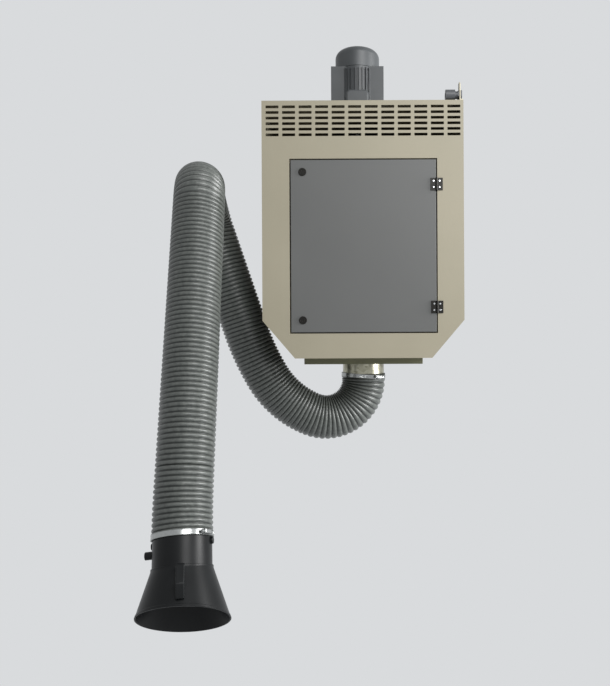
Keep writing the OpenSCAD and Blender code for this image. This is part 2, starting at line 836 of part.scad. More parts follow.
module screw_hole(x, z) {
    translate([x, front_y + over, z]) rotate([90, 0, 0]) cylinder(r = screw_head_r / 2, h = leaf_t + 2 * over, $fn = 24);
}

// Door leaf: the middle knuckle and the plate on the door's face
module hinge_door_leaves() {
    third = hinge_h / 3;
    color([0.12, 0.12, 0.12]) for (z = hinge_zs) difference() {
        union() {
            translate([0, 0, z]) hinge_barrel(-third / 2 + leaf_gap, third / 2 - leaf_gap);
            box([hinge_x - hinge_w / 2, front_y - leaf_t, z - hinge_h / 2],
                [hinge_x - barrel_r - leaf_gap, front_y, z + hinge_h / 2 - leaf_gap]);
            box([hinge_x - barrel_r - over, front_y - leaf_t, z - third / 2 + leaf_gap],
                [hinge_x - barrel_r / 2, front_y - leaf_gap / 2, z + third / 2 - leaf_gap]);
        }
        translate([hinge_x, hinge_y, z - hinge_h]) cylinder(r = hinge_pin_r + pin_clear, h = 2 * hinge_h);
        for (s = [-1, 1]) screw_hole(hinge_x - hinge_w / 2 + screw_inset, z + s * screw_inset);
    }
}

module hinge_pins() {
    color([0.20, 0.20, 0.20]) for (z = hinge_zs) translate([hinge_x, hinge_y, z - hinge_h / 2])
        cylinder(r = hinge_pin_r, h = hinge_h - leaf_gap);
}

module hinge_screws(x) {
    color([0.75, 0.75, 0.75]) for (z = hinge_zs, s = [-1, 1]) translate([x, front_y, z + s * screw_inset]) rotate([90, 0, 0]) {
        cylinder(r = screw_head_r / 2, h = leaf_t, $fn = 24);
        translate([0, 0, leaf_t]) cylinder(r = screw_head_r, h = screw_head_h, $fn = 24);
    }
}

module hinge_frame_screws() hinge_screws(hinge_x + hinge_w / 2 - screw_inset);

module hinge_door_screws() hinge_screws(hinge_x - hinge_w / 2 + screw_inset);

// Lock bodies: a head on the door's face and a sleeve through the pan
module lock_bezels() {
    color([0.08, 0.08, 0.08]) for (z = lock_zs) translate([lock_x, front_y, z]) rotate([90, 0, 0]) difference() {
        union() {
            cylinder(r = lock_d / 2, h = bezel_t);
            translate([0, 0, -door_d - seal_t]) cylinder(r = lock_barrel_r + bezel_t, h = door_d + seal_t);
        }
        translate([0, 0, -door_d - seal_t - over]) cylinder(r = bezel_bore_r, h = door_d + seal_t + bezel_t + 2 * over);
    }
}

// Turning core of a lock, with its cam unlocked: side 1 has it point up, -1 down
module lock_core(z, side) {
    depth = door_d + seal_t + sheet + run_gap;
    color([0.14, 0.14, 0.14]) translate([lock_x, front_y, z]) rotate([90, 0, 0]) {
        difference() {
            translate([0, 0, -depth - cam_t]) cylinder(r = lock_barrel_r, h = depth + cam_t + bezel_t - over / 2);
            box([-key_slot_w / 2, -lock_barrel_r / 2, over], [key_slot_w / 2, lock_barrel_r / 2, bezel_t + over]);
        }
        box([-cam_w / 2, min(0, side * cam_len), -depth - cam_t], [cam_w / 2, max(0, side * cam_len), -depth]);
    }
}

module lock_upper() lock_core(lock_zs[0], -1);

module lock_lower() lock_core(lock_zs[1], 1);

// Arm joints: an eye on a pin, and the fork that holds it. The pin lies along Y, the arm along Z.

module eye_with_tongue() {
    difference() {
        union() {
            rotate([90, 0, 0]) translate([0, 0, -eye_w / 2]) cylinder(r = eye_r, h = eye_w);
            box([-eye_r * 0.9, -eye_w / 2, 0], [eye_r * 0.9, eye_w / 2, tongue_len + over]);
        }
        rotate([90, 0, 0]) translate([0, 0, -eye_w]) cylinder(r = pin_r + pin_clear, h = 2 * eye_w);
    }
}

// Fork on a round end of radius r at the origin, reaching to a pin at (px, pz)
module fork(r, px, pz) {
    difference() {
        union() {
            intersection() {
                translate([0, 0, -block_t / 2]) cylinder(r = cheek_in + cheek_t + over, h = block_t);
                box([-r, -cheek_in - cheek_t, -block_t / 2], [r, cheek_in + cheek_t, block_t / 2]);
            }
            for (side = [-1, 1]) translate([0, side * (cheek_in + cheek_t / 2) + cheek_t / 2, 0])
                rotate([90, 0, 0]) linear_extrude(cheek_t) {
                    polygon([[-r, -block_t / 2], [r, -block_t / 2], [px + eye_r, pz], [px - eye_r, pz]]);
                    translate([px, pz]) circle(r = eye_r);
                }
        }
        translate([px, 0, pz]) rotate([90, 0, 0]) translate([0, 0, -eye_w]) cylinder(r = pin_r, h = 2 * eye_w);
    }
}

module pivot_pin() {
    reach = cheek_in + cheek_t;
    color([0.72, 0.73, 0.74]) rotate([90, 0, 0]) {
        translate([0, 0, -reach - pin_head_t]) cylinder(r = pin_r, h = 2 * (reach + pin_head_t));
        translate([0, 0, -reach - pin_head_t]) cylinder(r = pin_head_r, h = pin_head_t);
        translate([0, 0, reach]) cylinder(r = pin_head_r, h = pin_head_t, $fn = 6);
    }
}

// Local place of a point in the frame of a state whose side axis is k
function local_x(st, k, p) = (p - st[0]) * cross(k, st[1]);
function local_z(st, p) = (p - st[0]) * st[1];

goose_state = along(rise_state, [rise], rise[0] - goose_back);

module arm_spider() {
    reach = spigot_r - spigot_wall;
    color([0.72, 0.73, 0.74]) translate([0, -inlet_y, 0]) difference() {
        intersection() {
            translate([0, 0, spider_low_z]) cylinder(r = reach, h = spider_h);
            union() {
                for (a = [0, 90]) rotate([0, 0, a + loop_heading])
                    box([-2 * reach, -spider_t / 2, spider_low_z], [2 * reach, spider_t / 2, spider_low_z + spider_h]);
                translate([0, 0, spider_low_z]) cylinder(r = goose_r + spider_t, h = spider_h);
            }
        }
        translate([0, 0, spider_low_z - over]) cylinder(r = goose_r, h = spider_h + 2 * over);
    }
}

// Bent tube that carries the arm, from the spigot's spider round the loop
module gooseneck() {
    top = spider_low_z + spider_h - loop_state[0][2];
    color([0.30, 0.30, 0.32]) {
        place(loop_state[0], loop_state[1], loop_axis) {
            pipe(-top, 0, goose_r, goose_r - tube_wall);
            bent(loop_r, 0, loop_turn, goose_r, goose_r - tube_wall);
        }
        place(rise_state[0], rise_state[1], loop_axis)
            bent(rise_r, 0, rise_turn - to_deg(goose_back / rise_r), goose_r, goose_r - tube_wall);
    }
}

module shoulder_fork() {
    color([0.36, 0.37, 0.39]) place(goose_state[0], goose_state[1], loop_axis) translate([0, 0, block_t / 2])
        fork(goose_r, local_x(goose_state, loop_axis, shoulder_point),
             local_z(goose_state, shoulder_point) - block_t / 2);
}

module shoulder_pin() place(shoulder_point, rise_dir, loop_axis) pivot_pin();

module lower_tube() {
    reach = norm(elbow_state[0] - shoulder_point);
    collar_z = reach - sleeve_len - turn_collar_len - run_gap;
    color([0.30, 0.30, 0.32]) place(shoulder_point, rise_dir, loop_axis) {
        eye_with_tongue();
        pipe(tongue_len, reach - over, tube_r, tube_r - tube_wall);
        translate([0, 0, tongue_len]) cylinder(r = tube_r, h = tube_wall);
        pipe(collar_z, collar_z + turn_collar_len, tube_r + sleeve_wall, tube_r - tube_wall / 2);
    }
}

// Cast elbow half that turns on the lower tube and follows the hose to the top
module elbow_casting() {
    bend = elbow_turn_in - to_deg((fork_back - block_t) / elbow_r_in);
    color([0.36, 0.37, 0.39]) {
        place(elbow_state[0], rise_dir, elbow_axis_in) {
            pipe(-sleeve_len, 0, tube_r + sleeve_wall, tube_r + pin_clear);
            translate([0, 0, 0]) cylinder(r = tube_r + sleeve_wall, h = block_t);
            bent(elbow_r_in, to_deg(over / elbow_r_in), bend, casting_r, 0);
        }
        place(apex_point - over_top * fork_back, over_top, elbow_axis) fork(casting_r, 0, fork_back);
    }
}

module elbow_pin() place(apex_point, over_top, elbow_axis) pivot_pin();

module upper_casting() {
    from = to_deg(tongue_len / elbow_r_out);
    color([0.36, 0.37, 0.39]) {
        place(apex_point, over_top, elbow_axis) {
            eye_with_tongue();
            bent(elbow_r_out, from, elbow_turn_out, casting_r, 0);
        }
        place(upper_state[0], upper_dir, elbow_axis) {
            translate([0, 0, -over]) cylinder(r = tube_r + socket_wall, h = block_t);
            pipe(0, socket_len, tube_r + socket_wall, tube_r + pin_clear);
        }
    }
}

module upper_tube() {
    reach = norm(wrist_point - upper_state[0]);
    color([0.30, 0.30, 0.32]) place(upper_state[0], upper_dir, wrist_axis) {
        pipe(block_t - over, reach - fork_back, tube_r, tube_r - tube_wall);
        translate([0, 0, reach - fork_back]) fork(tube_r, 0, fork_back);
    }
}

module wrist_pin() place(wrist_point, upper_dir, wrist_axis) pivot_pin();

// Ribbed hose between two distances along its route: the outer skin runs crest and groove,
// the bore has one ring in each groove.
module ribbed_hose(s0, s1, ribs, shade) {
    pitch = (s1 - s0) / ribs;
    function ring(s, r) =
        let (st = along(start_state, route, s), u = st[2], v = cross(st[1], st[2]))
        [for (i = [0:hose_sides - 1]) let (a = (i + 0.5) * 360 / hose_sides) st[0] + r * (cos(a) * u + sin(a) * v)];
    function band(a, b, flip) = [for (i = [0:hose_sides - 1]) let (j = (i + 1) % hose_sides)
        each flip ? [[a + i, b + j, a + j], [a + i, b + i, b + j]]
                  : [[a + i, a + j, b + j], [a + i, b + j, b + i]]];
    skin = 2 * ribs + 1;
    ends = [s0 + run_gap / 2, s1 - run_gap / 2];
    places = [for (k = [0:skin - 1]) max(ends[0], min(ends[1], s0 + k * pitch / 2))];
    points = concat(
        [for (k = [0:skin - 1]) each ring(places[k], k % 2 == 0 ? hose_r - rib_depth : hose_r)],
        [for (k = [0:ribs]) each ring(places[2 * k], hose_r - rib_depth - hose_wall)]
    );
    bore = skin * hose_sides;
    faces = concat(
        [for (k = [0:skin - 2]) each band(k * hose_sides, (k + 1) * hose_sides, true)],
        [for (k = [0:ribs - 1]) each band(bore + k * hose_sides, bore + (k + 1) * hose_sides, false)],
        band(0, bore, false),
        band((skin - 1) * hose_sides, bore + ribs * hose_sides, true)
    );
    color(shade) polyhedron(points, faces);
}

hose_grey = [0.42, 0.43, 0.43];
shoulder_rib = loop_ribs + shoulder_ribs;
arch_end_rib = ribs_to_elbow + elbow_ribs;
wrist_rib = arch_end_rib + upper_ribs;

module hose_loop() ribbed_hose(0, loop_ribs * rib_pitch, loop_ribs, hose_grey);

module hose_shoulder() ribbed_hose(loop_ribs * rib_pitch, shoulder_rib * rib_pitch, shoulder_ribs, hose_grey);

module hose_lower() ribbed_hose(shoulder_rib * rib_pitch, elbow_s, ribs_to_elbow - shoulder_rib, hose_grey);

module hose_elbow() ribbed_hose(elbow_s, arch_end_rib * rib_pitch, elbow_ribs, hose_grey);

module hose_upper() ribbed_hose(arch_end_rib * rib_pitch, wrist_rib * rib_pitch, upper_ribs, hose_grey);

module hose_wrist() ribbed_hose(wrist_rib * rib_pitch, hose_end_s, wrist_ribs, hose_grey);

// Cuffs and worm-drive clamps at the two ends of the hose, along Z from z0

module cuff(z0, z1) color(hose_grey) pipe(z0, z1, hose_r, neck_r);

module worm_clamp(z) {
    color([0.80, 0.81, 0.82]) {
        pipe(z, z + clamp_w, hose_r + clamp_t, hose_r);
        box([hose_r, -clamp_box, z + over], [hose_r + clamp_box, clamp_box, z + clamp_w - over]);
        translate([hose_r + clamp_box / 2, -2 * clamp_box, z + clamp_w / 2]) rotate([-90, 0, 0])
            cylinder(r = clamp_w / 3, h = 2 * clamp_box);
    }
}

cuff_top_len = 16;

module hose_cuff_top() translate([0, -inlet_y, 0]) cuff(spigot_low_z, spigot_low_z + cuff_top_len);

module hose_clamp_top() translate([0, -inlet_y, 0]) rotate([0, 0, -50]) worm_clamp(spigot_low_z + over);

module at_hood() place(hood_state[0], hood_dir, wrist_axis) children();

module hose_cuff_hood() at_hood() cuff(0, collar_s);

module hose_clamp_hood() at_hood() rotate([0, 0, front_turn + clamp_turn]) worm_clamp(2 * over);

// Pivot eye and the cross that holds the hood's neck
module hood_hub() {
    reach = neck_tip_r - hood_wall;
    color([0.36, 0.37, 0.39]) {
        place(wrist_point, hood_dir, wrist_axis) eye_with_tongue();
        at_hood() intersection() {
            translate([0, 0, -neck_up]) cylinder(r = reach, h = hub_plate_h);
            union() {
                for (a = [0, 90]) rotate([0, 0, a + 45])
                    box([-2 * reach, -hub_plate_t / 2, -neck_up], [2 * reach, hub_plate_t / 2, -neck_up + hub_plate_h]);
                translate([0, 0, -neck_up]) cylinder(r = eye_r + hub_plate_t, h = hub_plate_h);
            }
        }
    }
}

// Moulded collar: neck inside the hose, two side bosses, and the body that holds the damper
module hood_collar() {
    color([0.12, 0.12, 0.13]) at_hood() difference() {
        union() {
            pipe(-neck_up, hood_wall, neck_tip_r, neck_tip_r - hood_wall);
            pipe(0, hood_wall, neck_r, neck_tip_r - hood_wall);
            pipe(0, collar_s + hood_wall, neck_r, neck_r - hood_wall);
            pipe(collar_s, cone_s, collar_r, collar_r - hood_wall);
            for (side = [-90, 90]) rotate([0, 0, front_turn + side])
                translate([collar_r - hood_wall / 2, 0, boss_s]) rotate([0, 90, 0])
                    cylinder(r = boss_r, h = boss_out + hood_wall / 2);
        }
        translate([0, 0, damper_s]) rotate([0, 0, front_turn]) rotate([90, 0, 0])
            translate([0, 0, -2 * collar_r]) cylinder(r = spindle_r + run_gap, h = 4 * collar_r);
    }
}

cone_slope = (mouth_r - collar_r - hood_wall) / cone_len;
cone_far = cone_len + 2 * mouth_r * tan(mouth_turn);

// Frame of the mouth's plane, which crosses the axis at the end of the cone
module at_mouth() rotate([0, 0, front_turn + mouth_side_turn]) translate([0, 0, cone_s + cone_len])
    rotate([0, mouth_turn, 0]) children();

module hood_cone() {
    far_r = collar_r + hood_wall + cone_slope * cone_far;
    wide = 2 * mouth_r;
    color([0.11, 0.11, 0.12]) at_hood() {
        difference() {
            rotate_extrude() polygon([
                [collar_r, cone_s - cone_band], [collar_r + hood_wall, cone_s - cone_band],
                [collar_r + hood_wall, cone_s], [far_r, cone_s + cone_far],
                [far_r - hood_wall, cone_s + cone_far], [collar_r, cone_s]
            ]);
            at_mouth() box([-wide, -wide, 0], [wide, wide, wide]);
        }
        intersection() {
            rotate_extrude() polygon([
                [collar_r + hood_wall / 2, cone_s], [collar_r + hood_wall + lip_t, cone_s],
                [far_r + lip_t, cone_s + cone_far], [far_r - hood_wall / 2, cone_s + cone_far]
            ]);
            at_mouth() box([-wide, -wide, -lip_w], [wide, wide, 0]);
        }
    }
}

// Handle on the front of the hood, facing the person who places it
module hood_handle() {
    color([0.16, 0.16, 0.17]) at_hood() rotate([0, 0, front_turn + grip_turn])
        translate([collar_r + hood_wall, 0, cone_s]) rotate([0, atan(cone_slope), 0])
            translate([0, grip_w / 2, 0]) rotate([90, 0, 0]) linear_extrude(grip_w) difference() {
                polygon([
                    [0, 0], [grip_stand - grip_t / 2, 0], [grip_stand, grip_t / 2], [grip_stand, grip_len],
                    [grip_toe, grip_foot_len], [0, grip_foot_len]
                ]);
                translate([0, grip_t]) square([grip_stand - grip_t, grip_len - 2 * grip_t]);
            }
}

// Turn that brings the hood's local X axis round to the front
front_dir = unit([0, -1, 0] - hood_dir * (hood_dir * [0, -1, 0]));
front_turn = atan2(front_dir * wrist_axis, front_dir * cross(wrist_axis, hood_dir));

module damper_flap() {
    color([0.10, 0.10, 0.10]) at_hood() translate([0, 0, damper_s]) rotate([0, 0, front_turn]) rotate([-90, 0, 0]) {
        rotate([0, 90, 0]) translate([0, 0, -damper_t / 2]) cylinder(r = damper_r, h = damper_t);
        translate([0, 0, -collar_r + hood_wall / 2]) cylinder(r = spindle_r, h = 2 * collar_r + knob_inner_gap);
        translate([0, 0, collar_r + knob_inner_gap - hood_wall / 2]) cylinder(r = knob_r, h = knob_len);
    }
}

housing();
back_panel();
wall_rail_upper();
wall_rail_lower();
fan_deck();
inlet_cone();
filter_rails();
filter_flange();
filter_media();
filter_end_cap();
spark_baffle();
inlet_tray();
slide_ring();
keeper_ring();
gland_lug();
cable_gland();
hinge_frame_leaves();
hinge_pins();
hinge_frame_screws();
motor_plinth();
motor_body();
motor_cowl();
terminal_box();
terminal_lid();
door_panel();
door_seal();
hinge_door_leaves();
hinge_door_screws();
lock_bezels();
lock_upper();
lock_lower();
motor_shaft();
impeller();
spigot();
arm_spider();
gooseneck();
shoulder_fork();
shoulder_pin();
hose_cuff_top();
hose_clamp_top();
hose_loop();
hose_shoulder();
lower_tube();
hose_lower();
elbow_casting();
elbow_pin();
hose_elbow();
upper_casting();
upper_tube();
wrist_pin();
hose_upper();
hose_wrist();
hood_hub();
hood_collar();
hood_cone();
hood_handle();
hose_cuff_hood();
hose_clamp_hood();
damper_flap();
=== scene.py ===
from math import atan2, cos, degrees, pi, radians, sin, tan

import bmesh
import bpy
from mathutils import Matrix, Vector


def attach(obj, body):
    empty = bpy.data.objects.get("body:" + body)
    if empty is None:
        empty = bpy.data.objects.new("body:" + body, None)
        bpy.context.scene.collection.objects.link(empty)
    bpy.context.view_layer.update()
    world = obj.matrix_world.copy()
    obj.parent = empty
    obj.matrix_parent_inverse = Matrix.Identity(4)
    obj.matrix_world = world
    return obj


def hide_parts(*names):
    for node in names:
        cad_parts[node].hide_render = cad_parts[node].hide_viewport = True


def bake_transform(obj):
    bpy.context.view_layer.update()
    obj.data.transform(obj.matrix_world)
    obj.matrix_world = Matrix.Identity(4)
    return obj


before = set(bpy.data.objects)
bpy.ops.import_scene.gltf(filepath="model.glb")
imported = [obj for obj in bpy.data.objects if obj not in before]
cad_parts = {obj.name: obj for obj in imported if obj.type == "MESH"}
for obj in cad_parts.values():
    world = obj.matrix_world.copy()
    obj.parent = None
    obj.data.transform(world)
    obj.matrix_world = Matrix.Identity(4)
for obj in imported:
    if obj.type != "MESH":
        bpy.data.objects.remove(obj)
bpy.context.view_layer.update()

# Camera: it stands in front of the cabinet at the height of its lower edge, level and square to the
# wall. The photograph is cropped to the left of the lens axis, which the small shift repeats.
camera = bpy.data.objects.new("camera", bpy.data.cameras.new("camera"))
bpy.context.scene.collection.objects.link(camera)
camera.data.sensor_fit = "HORIZONTAL"
camera.data.sensor_width = 36
camera.data.lens = 38.07
camera.data.shift_x = -0.092
camera.location = (-0.008, -2.725, -0.366)
camera.rotation_euler = (radians(90), radians(0.29), 0)
bpy.context.scene.camera = camera
bpy.context.scene.view_settings.view_transform = "Standard"


# Studio: one tall soft lamp to the right, which draws the long highlights on the hose, the hood and
# the motor, one large weak lamp beside the camera, a pale surround and a pale floor well below.
def linear(hex_colour):
    parts = [int(hex_colour[i : i + 2], 16) / 255 for i in (1, 3, 5)]
    return [c / 12.92 if c <= 0.04045 else ((c + 0.055) / 1.055) ** 2.4 for c in parts] + [1]


def add_node(tree, kind, settings=None, inputs=None):
    """Adds a node. An input's value is a plain value or the output socket that it is linked to."""
    made = tree.nodes.new(kind)
    for name, value in (settings or {}).items():
        setattr(made, name, value)
    for name, value in (inputs or {}).items():
        if isinstance(value, bpy.types.NodeSocket):
            tree.links.new(value, made.inputs[name])
        else:
            made.inputs[name].default_value = value
    return made


def soft_lamp(name, place, aim, width, height, watts):
    lamp = bpy.data.objects.new(name, bpy.data.lights.new(name, "AREA"))
    lamp.data.shape = "RECTANGLE"
    lamp.data.size = width
    lamp.data.size_y = height
    lamp.data.energy = watts
    lamp.location = place
    lamp.rotation_euler = (Vector(place) - Vector(aim)).to_track_quat("Z", "Y").to_euler()
    bpy.context.scene.collection.objects.link(lamp)


soft_lamp("right_softbox", (3.1, -1.15, 0.35), (-0.3, -0.5, -0.3), 1.1, 2.4, 165)
soft_lamp("front_fill", (1.6, -4.2, 1.9), (-0.1, -0.5, -0.2), 2.2, 2.2, 125)

world = bpy.data.worlds.new("pale_surround")
bpy.context.scene.world = world
world.use_nodes = True
world.node_tree.nodes.clear()
path = add_node(world.node_tree, "ShaderNodeLightPath")
seen = add_node(
    world.node_tree,
    "ShaderNodeMath",
    {"operation": "MAXIMUM"},
    {0: path.outputs["Is Camera Ray"], 1: path.outputs["Is Glossy Ray"]},
)
seen = add_node(
    world.node_tree,
    "ShaderNodeMath",
    {"operation": "MAXIMUM"},
    {0: seen.outputs[0], 1: path.outputs["Is Transmission Ray"]},
)
ambient = add_node(
    world.node_tree, "ShaderNodeBackground", inputs={"Color": linear("#d9dbdd"), "Strength": 0.22}
)
backdrop = add_node(
    world.node_tree, "ShaderNodeBackground", inputs={"Color": linear("#d9dbdd"), "Strength": 1}
)
both = add_node(
    world.node_tree,
    "ShaderNodeMixShader",
    inputs={0: seen.outputs[0], 1: ambient.outputs[0], 2: backdrop.outputs[0]},
)
add_node(world.node_tree, "ShaderNodeOutputWorld", inputs={"Surface": both.outputs[0]})

bm = bmesh.new()
bmesh.ops.create_grid(bm, x_segments=1, y_segments=1, size=2.2)
bmesh.ops.translate(bm, verts=bm.verts, vec=(0, -1.7, -2.1))
floor_mesh = bpy.data.meshes.new("floor")
bm.to_mesh(floor_mesh)
bm.free()
floor = bpy.data.objects.new("floor", floor_mesh)
bpy.context.scene.collection.objects.link(floor)
floor_paint = bpy.data.materials.new("pale_floor_paint")
floor_paint.use_nodes = True
shader = floor_paint.node_tree.nodes["Principled BSDF"]
shader.inputs["Base Color"].default_value = linear("#dadcde")
shader.inputs["Roughness"].default_value = 0.8
floor_mesh.materials.append(floor_paint)


# Wall rails: two folded galvanised rails that bolt to the wall and carry the cabinet. Hot-dip
# galvanising gives flat grey crystals of slightly different brightness, about 12 mm across.
def finish(name):
    """A new material with its Principled shader."""
    made = bpy.data.materials.new(name)
    made.use_nodes = True
    return made, made.node_tree, made.node_tree.nodes["Principled BSDF"]


galvanised_steel, tree, shader = finish("galvanised_steel")
place = add_node(tree, "ShaderNodeTexCoord").outputs["Object"]
spangle = add_node(
    tree, "ShaderNodeTexVoronoi", inputs={"Vector": place, "Scale": 1 / 0.012}
)
grey = add_node(tree, "ShaderNodeSeparateColor", inputs={0: spangle.outputs["Color"]}).outputs[0]
# Partly painted reflection: the warm yellow cast of both greys stands for the beige cabinet reflected
# in the zinc. Their spread of brightness is the crystals' own.
colour = add_node(
    tree,
    "ShaderNodeMix",
    {"data_type": "RGBA"},
    {0: grey, 6: linear("#8f8d7b"), 7: linear("#bab7a5")},
)
tree.links.new(colour.outputs[2], shader.inputs["Base Color"])
cloud = add_node(
    tree, "ShaderNodeTexNoise", inputs={"Vector": place, "Scale": 1 / 0.03}
)
rough = add_node(
    tree,
    "ShaderNodeMapRange",
    inputs={"Value": cloud.outputs["Fac"], "To Min": 0.22, "To Max": 0.38},
)
tree.links.new(rough.outputs[0], shader.inputs["Roughness"])
shader.inputs["Metallic"].default_value = 1.0
bump = add_node(
    tree,
    "ShaderNodeBump",
    inputs={"Height": grey, "Distance": 0.05 / 1000, "Strength": 1.0},
)
tree.links.new(bump.outputs["Normal"], shader.inputs["Normal"])


def dress(material, *nodes):
    for name in nodes:
        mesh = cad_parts[name].data
        mesh.materials.clear()
        mesh.materials.append(material)


def new_piece(name, bm, material, body, replaced, place=None):
    """Ends a bmesh: makes it the mesh of a piece that rides on a body."""
    if place is not None:
        bmesh.ops.transform(bm, matrix=place, verts=bm.verts)
    mesh = bpy.data.meshes.new(name)
    bm.to_mesh(mesh)
    bm.free()
    piece = bpy.data.objects.new(name, mesh)
    bpy.context.scene.collection.objects.link(piece)
    mesh.materials.append(material)
    if body:
        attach(piece, body)
    if replaced:
        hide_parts(*replaced)
    return piece


def soften(piece, width, segments=2, angle=32):
    """Breaks the sharp edges of a piece by a width in millimetres and shades its curves smooth."""
    piece.data.polygons.foreach_set("use_smooth", [True] * len(piece.data.polygons))
    piece.data.set_sharp_from_angle(angle=radians(angle))
    bevel = piece.modifiers.new("broken_edges", "BEVEL")
    bevel.width = width / 1000
    bevel.segments = segments
    bevel.limit_method = "ANGLE"
    bevel.angle_limit = radians(angle)
    bevel.miter_outer = "MITER_ARC"
    level = piece.modifiers.new("flat_faces_stay_flat", "WEIGHTED_NORMAL")
    level.keep_sharp = True
    level.weight = 100
    return piece


def softened(node, body, material, width, segments=2, angle=32):
    """A merged copy of a CAD node with its edges broken."""
    bm = bmesh.new()
    bm.from_mesh(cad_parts[node].data)
    bmesh.ops.remove_doubles(bm, verts=bm.verts, dist=0.000002)
    bmesh.ops.dissolve_limit(bm, angle_limit=radians(0.8), verts=bm.verts, edges=bm.edges)
    skin = new_piece(node + "_skin", bm, material, body, [node])
    return soften(skin, width, segments, angle)


dress(galvanised_steel, "wall_rail_upper", "wall_rail_lower")

# Cabinet: folded and welded 2 mm sheet steel, polyester powder coat in beige, baked on. Powder coat
# has a fine orange peel, drawn here 5 mm across so that it shows, and a dull even gloss.
beige_powder_coat, tree, shader = finish("beige_powder_coat")
place = add_node(tree, "ShaderNodeTexCoord").outputs["Object"]
tone = add_node(
    tree,
    "ShaderNodeTexNoise",
    inputs={"Vector": place, "Scale": 1 / 0.25, "Detail": 5},
)
colour = add_node(
    tree,
    "ShaderNodeMix",
    {"data_type": "RGBA"},
    {0: tone.outputs["Fac"], 6: linear("#9d9783"), 7: linear("#aca591")},
)
tree.links.new(colour.outputs[2], shader.inputs["Base Color"])
peel = add_node(
    tree,
    "ShaderNodeTexNoise",
    inputs={"Vector": place, "Scale": 1 / 0.005, "Detail": 2},
)
rough = add_node(
    tree,
    "ShaderNodeMapRange",
    inputs={"Value": tone.outputs["Fac"], "To Min": 0.46, "To Max": 0.58},
)
tree.links.new(rough.outputs[0], shader.inputs["Roughness"])
bump = add_node(
    tree,
    "ShaderNodeBump",
    inputs={"Height": peel.outputs["Fac"], "Distance": 0.12 / 1000, "Strength": 0.6},
)
tree.links.new(bump.outputs["Normal"], shader.inputs["Normal"])
softened("housing", "cabinet", beige_powder_coat, 1.2)
dress(beige_powder_coat, "back_panel", "fan_deck")

# Filter and fan chamber: galvanised fittings hold a pleated cartridge with a moulded end cap. The
# pleats are resin-stiffened paper, cream, with fibres about 3 mm long.
dress(
    galvanised_steel, "inlet_cone", "filter_rails", "filter_flange", "spark_baffle", "keeper_ring"
)
filter_paper, tree, shader = finish("pleated_filter_paper")
place = add_node(tree, "ShaderNodeTexCoord").outputs["Object"]
fibre = add_node(
    tree,
    "ShaderNodeTexNoise",
    inputs={"Vector": place, "Scale": 1 / 0.003, "Detail": 6},
)
dust = add_node(
    tree, "ShaderNodeTexNoise", inputs={"Vector": place, "Scale": 1 / 0.08}
)
colour = add_node(
    tree,
    "ShaderNodeMix",
    {"data_type": "RGBA"},
    {0: dust.outputs["Fac"], 6: linear("#b9b4a4"), 7: linear("#e8e4d6")},
)
tree.links.new(colour.outputs[2], shader.inputs["Base Color"])
shader.inputs["Roughness"].default_value = 0.9
bump = add_node(
    tree,
    "ShaderNodeBump",
    inputs={"Height": fibre.outputs["Fac"], "Distance": 0.3 / 1000, "Strength": 1.0},
)
tree.links.new(bump.outputs["Normal"], shader.inputs["Normal"])
dress(filter_paper, "filter_media")

# Dark mouldings, such as the cartridge's cap and the hood: black polypropylene from a spark-eroded
# mould, which leaves a fine grain and a broad soft highlight. The grain is drawn 2.5 mm across.
black_polypropylene, tree, shader = finish("moulded_black_polypropylene")
place = add_node(tree, "ShaderNodeTexCoord").outputs["Object"]
worn = add_node(
    tree,
    "ShaderNodeTexNoise",
    inputs={"Vector": place, "Scale": 1 / 0.05, "Detail": 4},
)
colour = add_node(
    tree,
    "ShaderNodeMix",
    {"data_type": "RGBA"},
    {0: worn.outputs["Fac"], 6: linear("#0e0f10"), 7: linear("#191b1c")},
)
tree.links.new(colour.outputs[2], shader.inputs["Base Color"])
rough = add_node(
    tree,
    "ShaderNodeMapRange",
    inputs={"Value": worn.outputs["Fac"], "To Min": 0.30, "To Max": 0.44},
)
tree.links.new(rough.outputs[0], shader.inputs["Roughness"])
shader.inputs["IOR"].default_value = 1.49
shader.inputs["Specular IOR Level"].default_value = 0.2
grain = add_node(
    tree,
    "ShaderNodeTexNoise",
    inputs={"Vector": place, "Scale": 1 / 0.0025, "Detail": 2},
)
bump = add_node(
    tree,
    "ShaderNodeBump",
    inputs={"Height": grain.outputs["Fac"], "Distance": 0.08 / 1000, "Strength": 1.0},
)
tree.links.new(bump.outputs["Normal"], shader.inputs["Normal"])
dress(black_polypropylene, "filter_end_cap")

# Inlet tray and its ring bearing: a powder-coated tray under the cabinet, its coat painted a darker
# olive as painted shade beneath the cabinet's front, with a white acetal slide ring, turned on a
# lathe, that the spigot's flange runs on.
tray_coat_painted_shade, tree, shader = finish("tray_coat_painted_shade")
place = add_node(tree, "ShaderNodeTexCoord").outputs["Object"]
tone = add_node(
    tree, "ShaderNodeTexNoise", inputs={"Vector": place, "Scale": 1 / 0.2, "Detail": 4}
)
